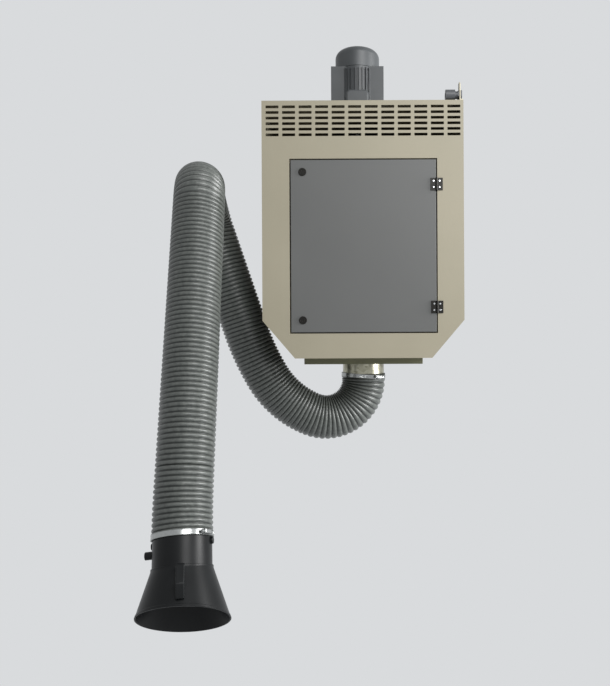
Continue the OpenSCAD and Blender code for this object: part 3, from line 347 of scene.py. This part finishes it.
# Painted shade: both olive tones are the beige coat as it looks in the shade under the cabinet's
# front.
colour = add_node(
    tree,
    "ShaderNodeMix",
    {"data_type": "RGBA"},
    {0: tone.outputs["Fac"], 6: linear("#66664f"), 7: linear("#727259")},
)
tree.links.new(colour.outputs[2], shader.inputs["Base Color"])
shader.inputs["Roughness"].default_value = 0.5
peel = add_node(
    tree, "ShaderNodeTexNoise", inputs={"Vector": place, "Scale": 1 / 0.005}
)
bump = add_node(
    tree,
    "ShaderNodeBump",
    inputs={"Height": peel.outputs["Fac"], "Distance": 0.12 / 1000, "Strength": 0.6},
)
tree.links.new(bump.outputs["Normal"], shader.inputs["Normal"])
softened("inlet_tray", "cabinet", tray_coat_painted_shade, 1.5)
acetal, tree, shader = finish("turned_white_acetal")
place = add_node(tree, "ShaderNodeTexCoord").outputs["Object"]
lathe = add_node(
    tree,
    "ShaderNodeTexNoise",
    inputs={"Vector": place, "Scale": 1 / 0.004},
)
colour = add_node(
    tree,
    "ShaderNodeMix",
    {"data_type": "RGBA"},
    {0: lathe.outputs["Fac"], 6: linear("#dcdbd2"), 7: linear("#ebeae2")},
)
tree.links.new(colour.outputs[2], shader.inputs["Base Color"])
shader.inputs["Roughness"].default_value = 0.35
dress(acetal, "slide_ring")

# Roof bracket and cable gland: a folded lug in cream powder coat, and a grey polyamide gland whose
# mouth points along the roof. Polyamide is moulded, satin and a little uneven in tone.
cream_powder_coat, tree, shader = finish("cream_powder_coat")
place = add_node(tree, "ShaderNodeTexCoord").outputs["Object"]
tone = add_node(
    tree, "ShaderNodeTexNoise", inputs={"Vector": place, "Scale": 1 / 0.1, "Detail": 4}
)
colour = add_node(
    tree,
    "ShaderNodeMix",
    {"data_type": "RGBA"},
    {0: tone.outputs["Fac"], 6: linear("#d5cdb4"), 7: linear("#e2dac1")},
)
tree.links.new(colour.outputs[2], shader.inputs["Base Color"])
shader.inputs["Roughness"].default_value = 0.48
peel = add_node(
    tree, "ShaderNodeTexNoise", inputs={"Vector": place, "Scale": 1 / 0.005}
)
bump = add_node(
    tree,
    "ShaderNodeBump",
    inputs={"Height": peel.outputs["Fac"], "Distance": 0.1 / 1000, "Strength": 0.6},
)
tree.links.new(bump.outputs["Normal"], shader.inputs["Normal"])
softened("gland_lug", "cabinet", cream_powder_coat, 0.8)
grey_polyamide, tree, shader = finish("moulded_grey_polyamide")
place = add_node(tree, "ShaderNodeTexCoord").outputs["Object"]
tone = add_node(
    tree, "ShaderNodeTexNoise", inputs={"Vector": place, "Scale": 1 / 0.02}
)
colour = add_node(
    tree,
    "ShaderNodeMix",
    {"data_type": "RGBA"},
    {0: tone.outputs["Fac"], 6: linear("#4b4d50"), 7: linear("#5d5f62")},
)
tree.links.new(colour.outputs[2], shader.inputs["Base Color"])
shader.inputs["Roughness"].default_value = 0.42
bump = add_node(
    tree,
    "ShaderNodeBump",
    inputs={"Height": tone.outputs["Fac"], "Distance": 0.1 / 1000, "Strength": 1.0},
)
tree.links.new(bump.outputs["Normal"], shader.inputs["Normal"])
softened("cable_gland", "cabinet", grey_polyamide, 0.9)

# Fan motor: a cast aluminium case with upright fins and two flat pads, a pressed cowl and a cast
# terminal box, all sprayed in dark grey enamel over the sand-cast skin, 3 mm in grain.
grey_enamel, tree, shader = finish("grey_motor_enamel")
place = add_node(tree, "ShaderNodeTexCoord").outputs["Object"]
tone = add_node(
    tree,
    "ShaderNodeTexNoise",
    inputs={"Vector": place, "Scale": 1 / 0.06, "Detail": 5},
)
colour = add_node(
    tree,
    "ShaderNodeMix",
    {"data_type": "RGBA"},
    {0: tone.outputs["Fac"], 6: linear("#3c3f41"), 7: linear("#515456")},
)
tree.links.new(colour.outputs[2], shader.inputs["Base Color"])
rough = add_node(
    tree,
    "ShaderNodeMapRange",
    inputs={"Value": tone.outputs["Fac"], "To Min": 0.34, "To Max": 0.48},
)
tree.links.new(rough.outputs[0], shader.inputs["Roughness"])
cast = add_node(
    tree,
    "ShaderNodeTexNoise",
    inputs={"Vector": place, "Scale": 1 / 0.003, "Detail": 3},
)
bump = add_node(
    tree,
    "ShaderNodeBump",
    inputs={"Height": cast.outputs["Fac"], "Distance": 0.12 / 1000, "Strength": 1.0},
)
tree.links.new(bump.outputs["Normal"], shader.inputs["Normal"])
softened("motor_plinth", "cabinet", grey_enamel, 1.5)
softened("motor_body", "cabinet", grey_enamel, 1.0)
softened("motor_cowl", "cabinet", grey_enamel, 0.8)
softened("terminal_box", "cabinet", grey_enamel, 1.5)
softened("terminal_lid", "cabinet", grey_enamel, 2.5, segments=3)

# Shaft, fan wheel and pins: bright turned steel, whose tool marks are fine rings, drawn 1.5 mm
# apart, and a dark cast aluminium wheel and castings with a pebbled skin.
bright_steel, tree, shader = finish("turned_steel")
place = add_node(tree, "ShaderNodeTexCoord").outputs["Object"]
lathe = add_node(
    tree,
    "ShaderNodeTexWave",
    {"bands_direction": "Z"},
    {"Vector": place, "Scale": pi / 10 / 0.0015, "Distortion": 1.5},
)
colour = add_node(
    tree,
    "ShaderNodeMix",
    {"data_type": "RGBA"},
    {0: lathe.outputs["Fac"], 6: linear("#b4b6b8"), 7: linear("#cfd1d2")},
)
tree.links.new(colour.outputs[2], shader.inputs["Base Color"])
shader.inputs["Metallic"].default_value = 1.0
shader.inputs["Roughness"].default_value = 0.24
bump = add_node(
    tree,
    "ShaderNodeBump",
    inputs={"Height": lathe.outputs["Fac"], "Distance": 0.03 / 1000, "Strength": 1.0},
)
tree.links.new(bump.outputs["Normal"], shader.inputs["Normal"])
dress(bright_steel, "motor_shaft", "shoulder_pin", "elbow_pin", "wrist_pin")
cast_aluminium, tree, shader = finish("sand_cast_aluminium")
place = add_node(tree, "ShaderNodeTexCoord").outputs["Object"]
skin = add_node(
    tree,
    "ShaderNodeTexNoise",
    inputs={"Vector": place, "Scale": 1 / 0.004, "Detail": 4},
)
colour = add_node(
    tree,
    "ShaderNodeMix",
    {"data_type": "RGBA"},
    {0: skin.outputs["Fac"], 6: linear("#5a5d61"), 7: linear("#74777b")},
)
tree.links.new(colour.outputs[2], shader.inputs["Base Color"])
shader.inputs["Metallic"].default_value = 1.0
shader.inputs["Roughness"].default_value = 0.5
bump = add_node(
    tree,
    "ShaderNodeBump",
    inputs={"Height": skin.outputs["Fac"], "Distance": 0.25 / 1000, "Strength": 1.0},
)
tree.links.new(bump.outputs["Normal"], shader.inputs["Normal"])
dress(
    cast_aluminium, "impeller", "shoulder_fork", "elbow_casting", "upper_casting", "hood_hub"
)

# Door: a folded pan, hung flush in the opening, in a grey powder coat a little darker than the
# cabinet, with a cellular rubber seal behind its rim.
grey_powder_coat, tree, shader = finish("grey_powder_coat")
place = add_node(tree, "ShaderNodeTexCoord").outputs["Object"]
tone = add_node(
    tree,
    "ShaderNodeTexNoise",
    inputs={"Vector": place, "Scale": 1 / 0.25, "Detail": 5},
)
colour = add_node(
    tree,
    "ShaderNodeMix",
    {"data_type": "RGBA"},
    {0: tone.outputs["Fac"], 6: linear("#5d5e5d"), 7: linear("#666766")},
)
tree.links.new(colour.outputs[2], shader.inputs["Base Color"])
rough = add_node(
    tree,
    "ShaderNodeMapRange",
    inputs={"Value": tone.outputs["Fac"], "To Min": 0.44, "To Max": 0.56},
)
tree.links.new(rough.outputs[0], shader.inputs["Roughness"])
peel = add_node(
    tree, "ShaderNodeTexNoise", inputs={"Vector": place, "Scale": 1 / 0.005}
)
bump = add_node(
    tree,
    "ShaderNodeBump",
    inputs={"Height": peel.outputs["Fac"], "Distance": 0.12 / 1000, "Strength": 0.6},
)
tree.links.new(bump.outputs["Normal"], shader.inputs["Normal"])
softened("door_panel", "door", grey_powder_coat, 1.4)
cellular_rubber, tree, shader = finish("cellular_rubber")
place = add_node(tree, "ShaderNodeTexCoord").outputs["Object"]
cells = add_node(
    tree, "ShaderNodeTexVoronoi", inputs={"Vector": place, "Scale": 1 / 0.002}
)
colour = add_node(
    tree,
    "ShaderNodeMix",
    {"data_type": "RGBA"},
    {0: cells.outputs["Distance"], 6: linear("#101010"), 7: linear("#1e1e1e")},
)
tree.links.new(colour.outputs[2], shader.inputs["Base Color"])
shader.inputs["Roughness"].default_value = 0.85
bump = add_node(
    tree,
    "ShaderNodeBump",
    inputs={"Height": cells.outputs["Distance"], "Distance": 0.2 / 1000, "Strength": 1.0},
)
tree.links.new(bump.outputs["Normal"], shader.inputs["Normal"])
dress(cellular_rubber, "door_seal")

# Hinges and locks: pressed steel leaves and quarter-turn locks in black zinc, fixed with plain
# screws. Black zinc is thin, satin and faintly brown where it is handled.
black_zinc, tree, shader = finish("black_zinc_plate")
place = add_node(tree, "ShaderNodeTexCoord").outputs["Object"]
tone = add_node(
    tree,
    "ShaderNodeTexNoise",
    inputs={"Vector": place, "Scale": 1 / 0.01, "Detail": 4},
)
colour = add_node(
    tree,
    "ShaderNodeMix",
    {"data_type": "RGBA"},
    {0: tone.outputs["Fac"], 6: linear("#121212"), 7: linear("#26241f")},
)
tree.links.new(colour.outputs[2], shader.inputs["Base Color"])
shader.inputs["Metallic"].default_value = 0.6
shader.inputs["Roughness"].default_value = 0.38
bump = add_node(
    tree,
    "ShaderNodeBump",
    inputs={"Height": tone.outputs["Fac"], "Distance": 0.05 / 1000, "Strength": 1.0},
)
tree.links.new(bump.outputs["Normal"], shader.inputs["Normal"])
softened("hinge_frame_leaves", "cabinet", black_zinc, 0.5)
softened("hinge_door_leaves", "door", black_zinc, 0.5)
dress(black_zinc, "hinge_pins")
softened("lock_bezels", "door", black_zinc, 0.8)
softened("lock_upper", "upper_lock", black_zinc, 0.4)
softened("lock_lower", "lower_lock", black_zinc, 0.4)
softened("hinge_frame_screws", "cabinet", bright_steel, 0.4)
softened("hinge_door_screws", "door", bright_steel, 0.4)


# Spigot: a spun galvanised tube with a flange, hung in the ring bearing, so that the arm can be
# swung to either side. A spider of flat bars inside it carries the arm's bent tube.
def turned(profile, steps=96):
    """Spins a closed profile of (radius, height) in millimetres about Z."""
    bm = bmesh.new()
    verts = [bm.verts.new((r / 1000, 0, z / 1000)) for r, z in profile]
    edges = [bm.edges.new((verts[i], verts[(i + 1) % len(verts)])) for i in range(len(verts))]
    bmesh.ops.spin(
        bm,
        geom=verts + edges,
        cent=(0, 0, 0),
        axis=(0, 0, 1),
        angle=2 * pi,
        steps=steps,
        use_merge=True,
    )
    bmesh.ops.remove_doubles(bm, verts=bm.verts, dist=0.000002)
    bmesh.ops.recalc_face_normals(bm, faces=bm.faces)
    return bm


softened("spigot", "swivel", galvanised_steel, 0.5)
dress(galvanised_steel, "arm_spider")
tube_powder_coat, tree, shader = finish("black_tube_powder_coat")
place = add_node(tree, "ShaderNodeTexCoord").outputs["Object"]
tone = add_node(
    tree, "ShaderNodeTexNoise", inputs={"Vector": place, "Scale": 1 / 0.05}
)
colour = add_node(
    tree,
    "ShaderNodeMix",
    {"data_type": "RGBA"},
    {0: tone.outputs["Fac"], 6: linear("#303236"), 7: linear("#3c3e42")},
)
tree.links.new(colour.outputs[2], shader.inputs["Base Color"])
shader.inputs["Roughness"].default_value = 0.45
bump = add_node(
    tree,
    "ShaderNodeBump",
    inputs={"Height": tone.outputs["Fac"], "Distance": 0.1 / 1000, "Strength": 1.0},
)
tree.links.new(bump.outputs["Normal"], shader.inputs["Normal"])
dress(tube_powder_coat, "gooseneck", "lower_tube", "upper_tube")

# Hose: PVC-coated fabric wound on a sprung wire helix, 160 mm over the coils. The cloth stands
# rounded over each wire and draws in to a narrow seam between two, closer together inside a bend.
HOSE_R = 80.25
SEAM_DEPTH = 5.0
NECK_R = 76.0
# From the hood's pivot to the end of the hose's last bend
PIVOT_UP = 60
UP = Vector((0, 0, 1))
loop_side = Vector((-cos(radians(10)), -sin(radians(10)), 0))
loop_axis = (-UP).cross(loop_side)
over_top = Vector((sin(radians(14.4)), -cos(radians(14.4)), 0))
rise_dir = Matrix.Rotation(radians(112.5 + 37.2 + 11.7), 3, loop_axis) @ -UP


def hang(forward, side):
    f, s = radians(forward), radians(side)
    return Vector((sin(s), -sin(f) * cos(s), -cos(f) * cos(s)))


upper_dir = hang(18.5, 1.6)
hood_dir = hang(24, 5.8)
rise_to_top = rise_dir.cross(over_top).normalized()
top_to_upper = over_top.cross(upper_dir).normalized()
wrist_axis = upper_dir.cross(hood_dir).normalized()
wrist_turn = upper_dir.angle(hood_dir)
wrist_r = PIVOT_UP / tan(wrist_turn / 2)
# Each stretch: length, bend radius or 0, bend axis
route = [
    (7, 0, loop_axis),
    (137.5 * radians(112.5), 137.5, loop_axis),
    (338 * radians(37.2), 338, loop_axis),
    (900 * radians(11.7), 900, loop_axis),
    (362, 0, loop_axis),
    (137 * rise_dir.angle(over_top), 137, rise_to_top),
    (125 * over_top.angle(upper_dir), 125, top_to_upper),
    (878, 0, top_to_upper),
    (wrist_r * wrist_turn, wrist_r, wrist_axis),
    (20, 0, wrist_axis),
]
inlet = Vector((0, -325, -493))


def at(distance):
    """The hose's centre, heading and side axis at a distance along it, in millimetres."""
    point, heading, side = inlet.copy(), -UP, loop_side.copy()
    if distance < 0:
        return point + heading * distance, heading, side
    for length, radius, axis in route:
        step = min(distance, length)
        if radius:
            turn = Matrix.Rotation(step / radius, 3, axis)
            centre = point + radius * axis.cross(heading)
            point = centre + turn @ (point - centre)
            heading, side = turn @ heading, turn @ side
        else:
            point = point + step * heading
        distance -= step
        if distance <= 0:
            break
    return point, heading, side


def placed(distance):
    """The matrix that brings a ring drawn at the origin, in metres, to its place on the hose."""
    point, heading, side = at(distance)
    across = heading.cross(side)
    rows = [[side[i], across[i], heading[i], point[i] / 1000] for i in range(3)]
    return Matrix(rows + [[0, 0, 0, 1]])


coated_cloth, tree, shader = finish("pvc_coated_hose_cloth")
place = add_node(tree, "ShaderNodeTexCoord").outputs["Object"]
crest = add_node(tree, "ShaderNodeAttribute", {"attribute_name": "crest"}).outputs["Fac"]
along = add_node(tree, "ShaderNodeTexCoord").outputs["UV"]
soil = add_node(
    tree,
    "ShaderNodeTexNoise",
    inputs={"Vector": place, "Scale": 1 / 0.09, "Detail": 6, "Roughness": 0.6},
)
scuff = add_node(
    tree,
    "ShaderNodeTexNoise",
    inputs={"Vector": along, "Scale": 1 / 0.012, "Detail": 4},
)
clean = add_node(
    tree,
    "ShaderNodeMix",
    {"data_type": "RGBA"},
    {0: soil.outputs["Fac"], 6: linear("#454946"), 7: linear("#5a5e5b")},
).outputs[2]
rubbed = add_node(
    tree,
    "ShaderNodeMapRange",
    inputs={"Value": scuff.outputs["Fac"], "From Min": 0.35, "From Max": 0.8, "To Max": 0.5},
)
light = add_node(
    tree,
    "ShaderNodeMix",
    {"data_type": "RGBA"},
    {0: rubbed.outputs[0], 6: clean, 7: linear("#80837f")},
)
# Painted shade: the cloth is darkened towards #1d201e in the grooves between coils, by their depth
# below the crest.
groove_shade = add_node(
    tree,
    "ShaderNodeMapRange",
    inputs={"Value": crest, "From Min": 0.0, "From Max": 0.55},
)
cloth = add_node(
    tree,
    "ShaderNodeMix",
    {"data_type": "RGBA"},
    {0: groove_shade.outputs[0], 6: linear("#1d201e"), 7: light.outputs[2]},
)
tree.links.new(cloth.outputs[2], shader.inputs["Base Color"])
shader.inputs["Roughness"].default_value = 0.34
shader.inputs["Specular IOR Level"].default_value = 0.6
# The 1 mm weave is drawn 3 mm apart
weave = add_node(
    tree,
    "ShaderNodeTexWave",
    {"bands_direction": "X"},
    {"Vector": along, "Scale": pi / 10 / 0.003, "Distortion": 2.0},
)
bump = add_node(
    tree,
    "ShaderNodeBump",
    inputs={"Height": weave.outputs["Fac"], "Distance": 0.15 / 1000, "Strength": 0.5},
)
tree.links.new(bump.outputs["Normal"], shader.inputs["Normal"])


def hose_run(name, marks, sides=56):
    """Extrudes a ring from mark to mark (distance, radius) and back inside, and closes the wall."""
    bm = bmesh.new()
    turn_layer = bm.verts.layers.float.new("turn")
    far_layer = bm.verts.layers.float.new("far")
    crest_layer = bm.verts.layers.float.new("crest")
    bmesh.ops.create_circle(bm, segments=sides, radius=1, cap_ends=False)
    bm.verts.ensure_lookup_table()
    for v in bm.verts:
        v[turn_layer] = atan2(v.co.y, v.co.x) / (2 * pi) % 1
    ring = list(bm.verts)
    first = list(bm.edges)
    edges = first
    bore_r = HOSE_R - SEAM_DEPTH - 2
    wall = [(s, bore_r) for s, r in reversed(marks) if r <= HOSE_R - SEAM_DEPTH + 0.1]
    before = Matrix.Identity(4)
    for count, (distance, radius) in enumerate(marks + wall):
        if count:
            made = bmesh.ops.extrude_edge_only(bm, edges=edges)["geom"]
            edges = [e for e in made if isinstance(e, bmesh.types.BMEdge)]
            ring = [v for v in made if isinstance(v, bmesh.types.BMVert)]
        here = placed(distance) @ Matrix.Scale(radius / 1000, 4)
        bmesh.ops.transform(bm, matrix=here @ before.inverted(), verts=ring)
        before = here
        for v in ring:
            v[far_layer] = distance / 1000
            # The crest value is 0 deep in a groove and 1 near the crest. It later sets the painted
            # shade in the grooves.
            v[crest_layer] = max(0, 1 - (HOSE_R - radius) / SEAM_DEPTH)
    bmesh.ops.bridge_loops(bm, edges=first + edges)
    bmesh.ops.recalc_face_normals(bm, faces=bm.faces)
    around = bm.loops.layers.uv.new("UVMap")
    for face in bm.faces:
        face.smooth = True
        turns = [loop.vert[turn_layer] for loop in face.loops]
        wraps = max(turns) - min(turns) > 0.5
        for loop, turn in zip(face.loops, turns):
            lap = turn + 1 if wraps and turn < 0.5 else turn
            loop[around].uv = (lap * 2 * pi * HOSE_R / 1000, loop.vert[far_layer])
    return bm


# Across one coil, as (share of the pitch, depth below the crest in millimetres)
coil_profile = [
    (0.0, SEAM_DEPTH), (0.07, 4.3), (0.18, 2.2), (0.32, 0.6),
    (0.5, 0.0), (0.68, 0.6), (0.82, 2.2), (0.93, 4.3)
]


def coils(start, end, count):
    """Marks of a run of coils: distance along the hose and radius."""
    pitch = (end - start) / count
    marks = [
        (start + (n + part) * pitch, HOSE_R - dip) for n in range(count) for part, dip in coil_profile
    ]
    return marks + [(end, HOSE_R - SEAM_DEPTH)]


ELBOW_S = sum(part[0] for part in route[:5])
COIL = ELBOW_S / 73
lower_seam = 56 * COIL
upper_seam = 157 * COIL
hose_end = sum(part[0] for part in route[:9])
elbow_centre = at(ELBOW_S)[0] / 1000

bm = hose_run("hose_lower_run", [(-15, HOSE_R), (-0.5, HOSE_R)] + coils(0, lower_seam, 56))
run = new_piece(
    "hose_lower_run",
    bm,
    coated_cloth,
    None,
    ["hose_cuff_top", "hose_loop", "hose_shoulder", "hose_lower"],
)
at(29 * COIL)[0] / 1000
at(44 * COIL)[0] / 1000
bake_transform(run)

bm = hose_run("hose_upper_run", coils(lower_seam, upper_seam, 101))
run = new_piece(
    "hose_upper_run", bm, coated_cloth, None, ["hose_elbow", "hose_upper"]
)
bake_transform(run)

# Its plain cuff ends just short of the collar and slips over the neck with a little play
CUFF_END = hose_end + 16.5
CUFF_BORE = NECK_R + 0.2
hood_marks = coils(upper_seam, hose_end - 1.5, 12) + [
    (hose_end - 1, HOSE_R),
    (CUFF_END, HOSE_R),
    (CUFF_END, CUFF_BORE),
    (hose_end - 0.5, CUFF_BORE),
]
run = new_piece(
    "hose_hood_run",
    hose_run("hose_hood_run", hood_marks),
    coated_cloth,
    None,
    ["hose_wrist", "hose_cuff_hood"],
)
wrist_start = at(upper_seam)[0] / 1000
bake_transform(run)


# Hose clamps: a worm-drive clamp at each end, stainless band with cut thread slots, a pressed
# housing and a hexagon-headed screw. Stainless strip is rolled bright, with fine lines along it.
stainless_strip, tree, shader = finish("rolled_stainless_strip")
place = add_node(tree, "ShaderNodeTexCoord").outputs["Object"]
lines = add_node(
    tree,
    "ShaderNodeTexNoise",
    inputs={"Vector": place, "Scale": 1 / 0.006, "Detail": 3},
)
colour = add_node(
    tree,
    "ShaderNodeMix",
    {"data_type": "RGBA"},
    {0: lines.outputs["Fac"], 6: linear("#8f9190"), 7: linear("#b3b5b4")},
)
tree.links.new(colour.outputs[2], shader.inputs["Base Color"])
shader.inputs["Metallic"].default_value = 1.0
shader.inputs["Roughness"].default_value = 0.24
bump = add_node(
    tree,
    "ShaderNodeBump",
    inputs={"Height": lines.outputs["Fac"], "Distance": 0.05 / 1000, "Strength": 1.0},
)
tree.links.new(bump.outputs["Normal"], shader.inputs["Normal"])


def worm_clamp(name, middle, tilt, housing_turn, body, replaced):
    """A clamp round the hose at a matrix, with its housing at a turn about the hose, in degrees."""
    r = HOSE_R
    bm = turned(
        [
            (r, -6.5), (r + 1.6, -7), (r + 1.6, -6), (r + 1.2, -5),
            (r + 1.2, 5), (r + 1.6, 6), (r + 1.6, 7), (r, 6.5)
        ]
    )
    for n in range(26):
        slot = bmesh.ops.create_cube(bm, size=1)["verts"]
        bmesh.ops.scale(bm, vec=(0.0009, 0.0022, 0.0085), verts=slot)
        slanted = Matrix.Rotation(radians(14), 3, "X")
        bmesh.ops.rotate(bm, cent=(0, 0, 0), matrix=slanted, verts=slot)
        bmesh.ops.translate(bm, vec=((r + 1.35) / 1000, 0, 0), verts=slot)
        bmesh.ops.rotate(
            bm, cent=(0, 0, 0), matrix=Matrix.Rotation(radians(-12 - 3.1 * n), 3, "Z"), verts=slot
        )
    shell = bmesh.ops.create_cube(bm, size=1)["verts"]
    bmesh.ops.scale(bm, vec=(0.011, 0.024, 0.0125), verts=shell)
    bmesh.ops.translate(bm, vec=((r + 6.5) / 1000, 0, 0), verts=shell)
    top = (r + 8) / 1000
    rims = list({e for v in shell for e in v.link_edges if all(w.co.x > top for w in e.verts)})
    bmesh.ops.bevel(
        bm, geom=rims, offset=0.0035, segments=4, profile=0.5, affect="EDGES", material=-1
    )
    screw = bmesh.ops.create_cone(
        bm, segments=24, radius1=0.0042, radius2=0.0042, depth=0.034, cap_ends=True
    )["verts"]
    head = bmesh.ops.create_cone(
        bm, segments=6, radius1=0.0048, radius2=0.0048, depth=0.006, cap_ends=True
    )["verts"]
    bmesh.ops.translate(bm, vec=(0, 0, 0.018), verts=head)
    lying = Matrix.Rotation(radians(-90), 3, "X")
    bmesh.ops.rotate(bm, cent=(0, 0, 0), matrix=lying, verts=screw + head)
    bmesh.ops.translate(bm, vec=((r + 6.5) / 1000, 0, 0), verts=screw + head)
    tilted = middle @ Matrix.Rotation(radians(tilt), 4, "Y")
    place = tilted @ Matrix.Rotation(radians(housing_turn), 4, "Z")
    soften(new_piece(name, bm, stainless_strip, body, replaced, place), 0.3, 1)


worm_clamp(
    "worm_clamp_spigot",
    Matrix.Translation((0, -0.325, -0.486)),
    4,
    -50,
    "swivel",
    ["hose_clamp_top"],
)

# Hood: a moulded collar whose neck the hose slips over, with a boss on either side for the pivot's
# bolts, and a flared cone pushed over the collar, cut at a slant and rolled to a lip at its mouth.
hood_point = at(hose_end)[0] / 1000
hood_across = wrist_axis.cross(hood_dir)
rows = [[hood_across[i], wrist_axis[i], hood_dir[i], hood_point[i]] for i in range(3)]
hood_place = Matrix(rows + [[0, 0, 0, 1]])
front = Vector((0, -1, 0))
front = (front - hood_dir * hood_dir.dot(front)).normalized()
front_turn = degrees(atan2(front.dot(wrist_axis), front.dot(hood_across)))
worm_clamp(
    "worm_clamp_hood",
    hood_place @ Matrix.Translation((0, 0, 0.009)),
    0,
    front_turn - 63,
    "hood",
    ["hose_clamp_hood"],
)
bm = turned(
    [
        (57, -32), (59.6, -32), (60, -31.6), (60, 0), (75.6, 0), (76, 0.4), (76, 17), (76.4, 17),
        (77, 17.8), (77, 95), (74, 95), (74, 20), (73, 19), (73, 3), (57, 3)
    ],
    112,
)
for side in (-90, 90):
    boss = bmesh.ops.create_cone(
        bm, segments=48, radius1=0.0095, radius2=0.0095, depth=0.0072, cap_ends=True
    )["verts"]
    outer = list({e for v in boss for e in v.link_edges if all(w.co.z > 0 for w in e.verts)})
    rounded = bmesh.ops.bevel(
        bm, geom=outer, offset=0.002, segments=4, profile=0.5, affect="EDGES", material=-1
    )["verts"]
    boss = list({v for v in boss if v.is_valid} | set(rounded))
    stand = Matrix.Translation((0.079, 0, 0.027)) @ Matrix.Rotation(radians(90), 4, "Y")
    sideways = Matrix.Rotation(radians(front_turn + side), 4, "Z")
    bmesh.ops.transform(bm, matrix=sideways @ stand, verts=boss)
soften(
    new_piece(
        "hood_collar_moulding",
        bm,
        black_polypropylene,
        "hood",
        ["hood_collar"],
        hood_place,
    ),
    0.4,
)

bm = turned(
    [(77, 88), (79.4, 88), (80, 88.6), (80, 95), (135, 260), (132, 260), (77.1, 95.4)], 112
)
# The mouth's plane crosses the hood's axis at this distance and tips by these angles
MOUTH_S = 212
MOUTH_TURN = 13.3
MOUTH_SIDE_TURN = 4.6
LIP_W = 6
slant = Matrix.Rotation(radians(front_turn + MOUTH_SIDE_TURN), 4, "Z")
slant = slant @ Matrix.Translation((0, 0, MOUTH_S / 1000))
slant = slant @ Matrix.Rotation(radians(MOUTH_TURN), 4, "Y")
mouth_dir = slant.to_3x3() @ UP
lip_back = slant @ Vector((0, 0, -LIP_W / 1000))
bmesh.ops.bisect_plane(
    bm,
    geom=bm.verts[:] + bm.edges[:] + bm.faces[:],
    dist=1e-7,
    plane_co=lip_back,
    plane_no=mouth_dir,
)
cut = bmesh.ops.bisect_plane(
    bm,
    geom=bm.verts[:] + bm.edges[:] + bm.faces[:],
    dist=1e-7,
    plane_co=slant.translation,
    plane_no=mouth_dir,
    clear_outer=True,
)["geom_cut"]
bmesh.ops.bridge_loops(bm, edges=[e for e in cut if isinstance(e, bmesh.types.BMEdge)])
bmesh.ops.recalc_face_normals(bm, faces=bm.faces)
lip = []
for face in bm.faces:
    middle = face.calc_center_median()
    outwards = face.normal.dot(Vector((middle.x, middle.y, 0))) > 0.02
    if outwards and (middle - lip_back).dot(mouth_dir) > 0:
        lip.append(face)
bmesh.ops.inset_region(bm, faces=lip, thickness=0.0004, depth=0.001, use_even_offset=True)
soften(
    new_piece(
        "hood_cone_moulding",
        bm,
        black_polypropylene,
        "hood",
        ["hood_cone"],
        hood_place,
    ),
    0.6,
)
softened("hood_handle", "hood", black_polypropylene, 2.5, segments=3)
softened("damper_flap", "damper", black_polypropylene, 0.6)
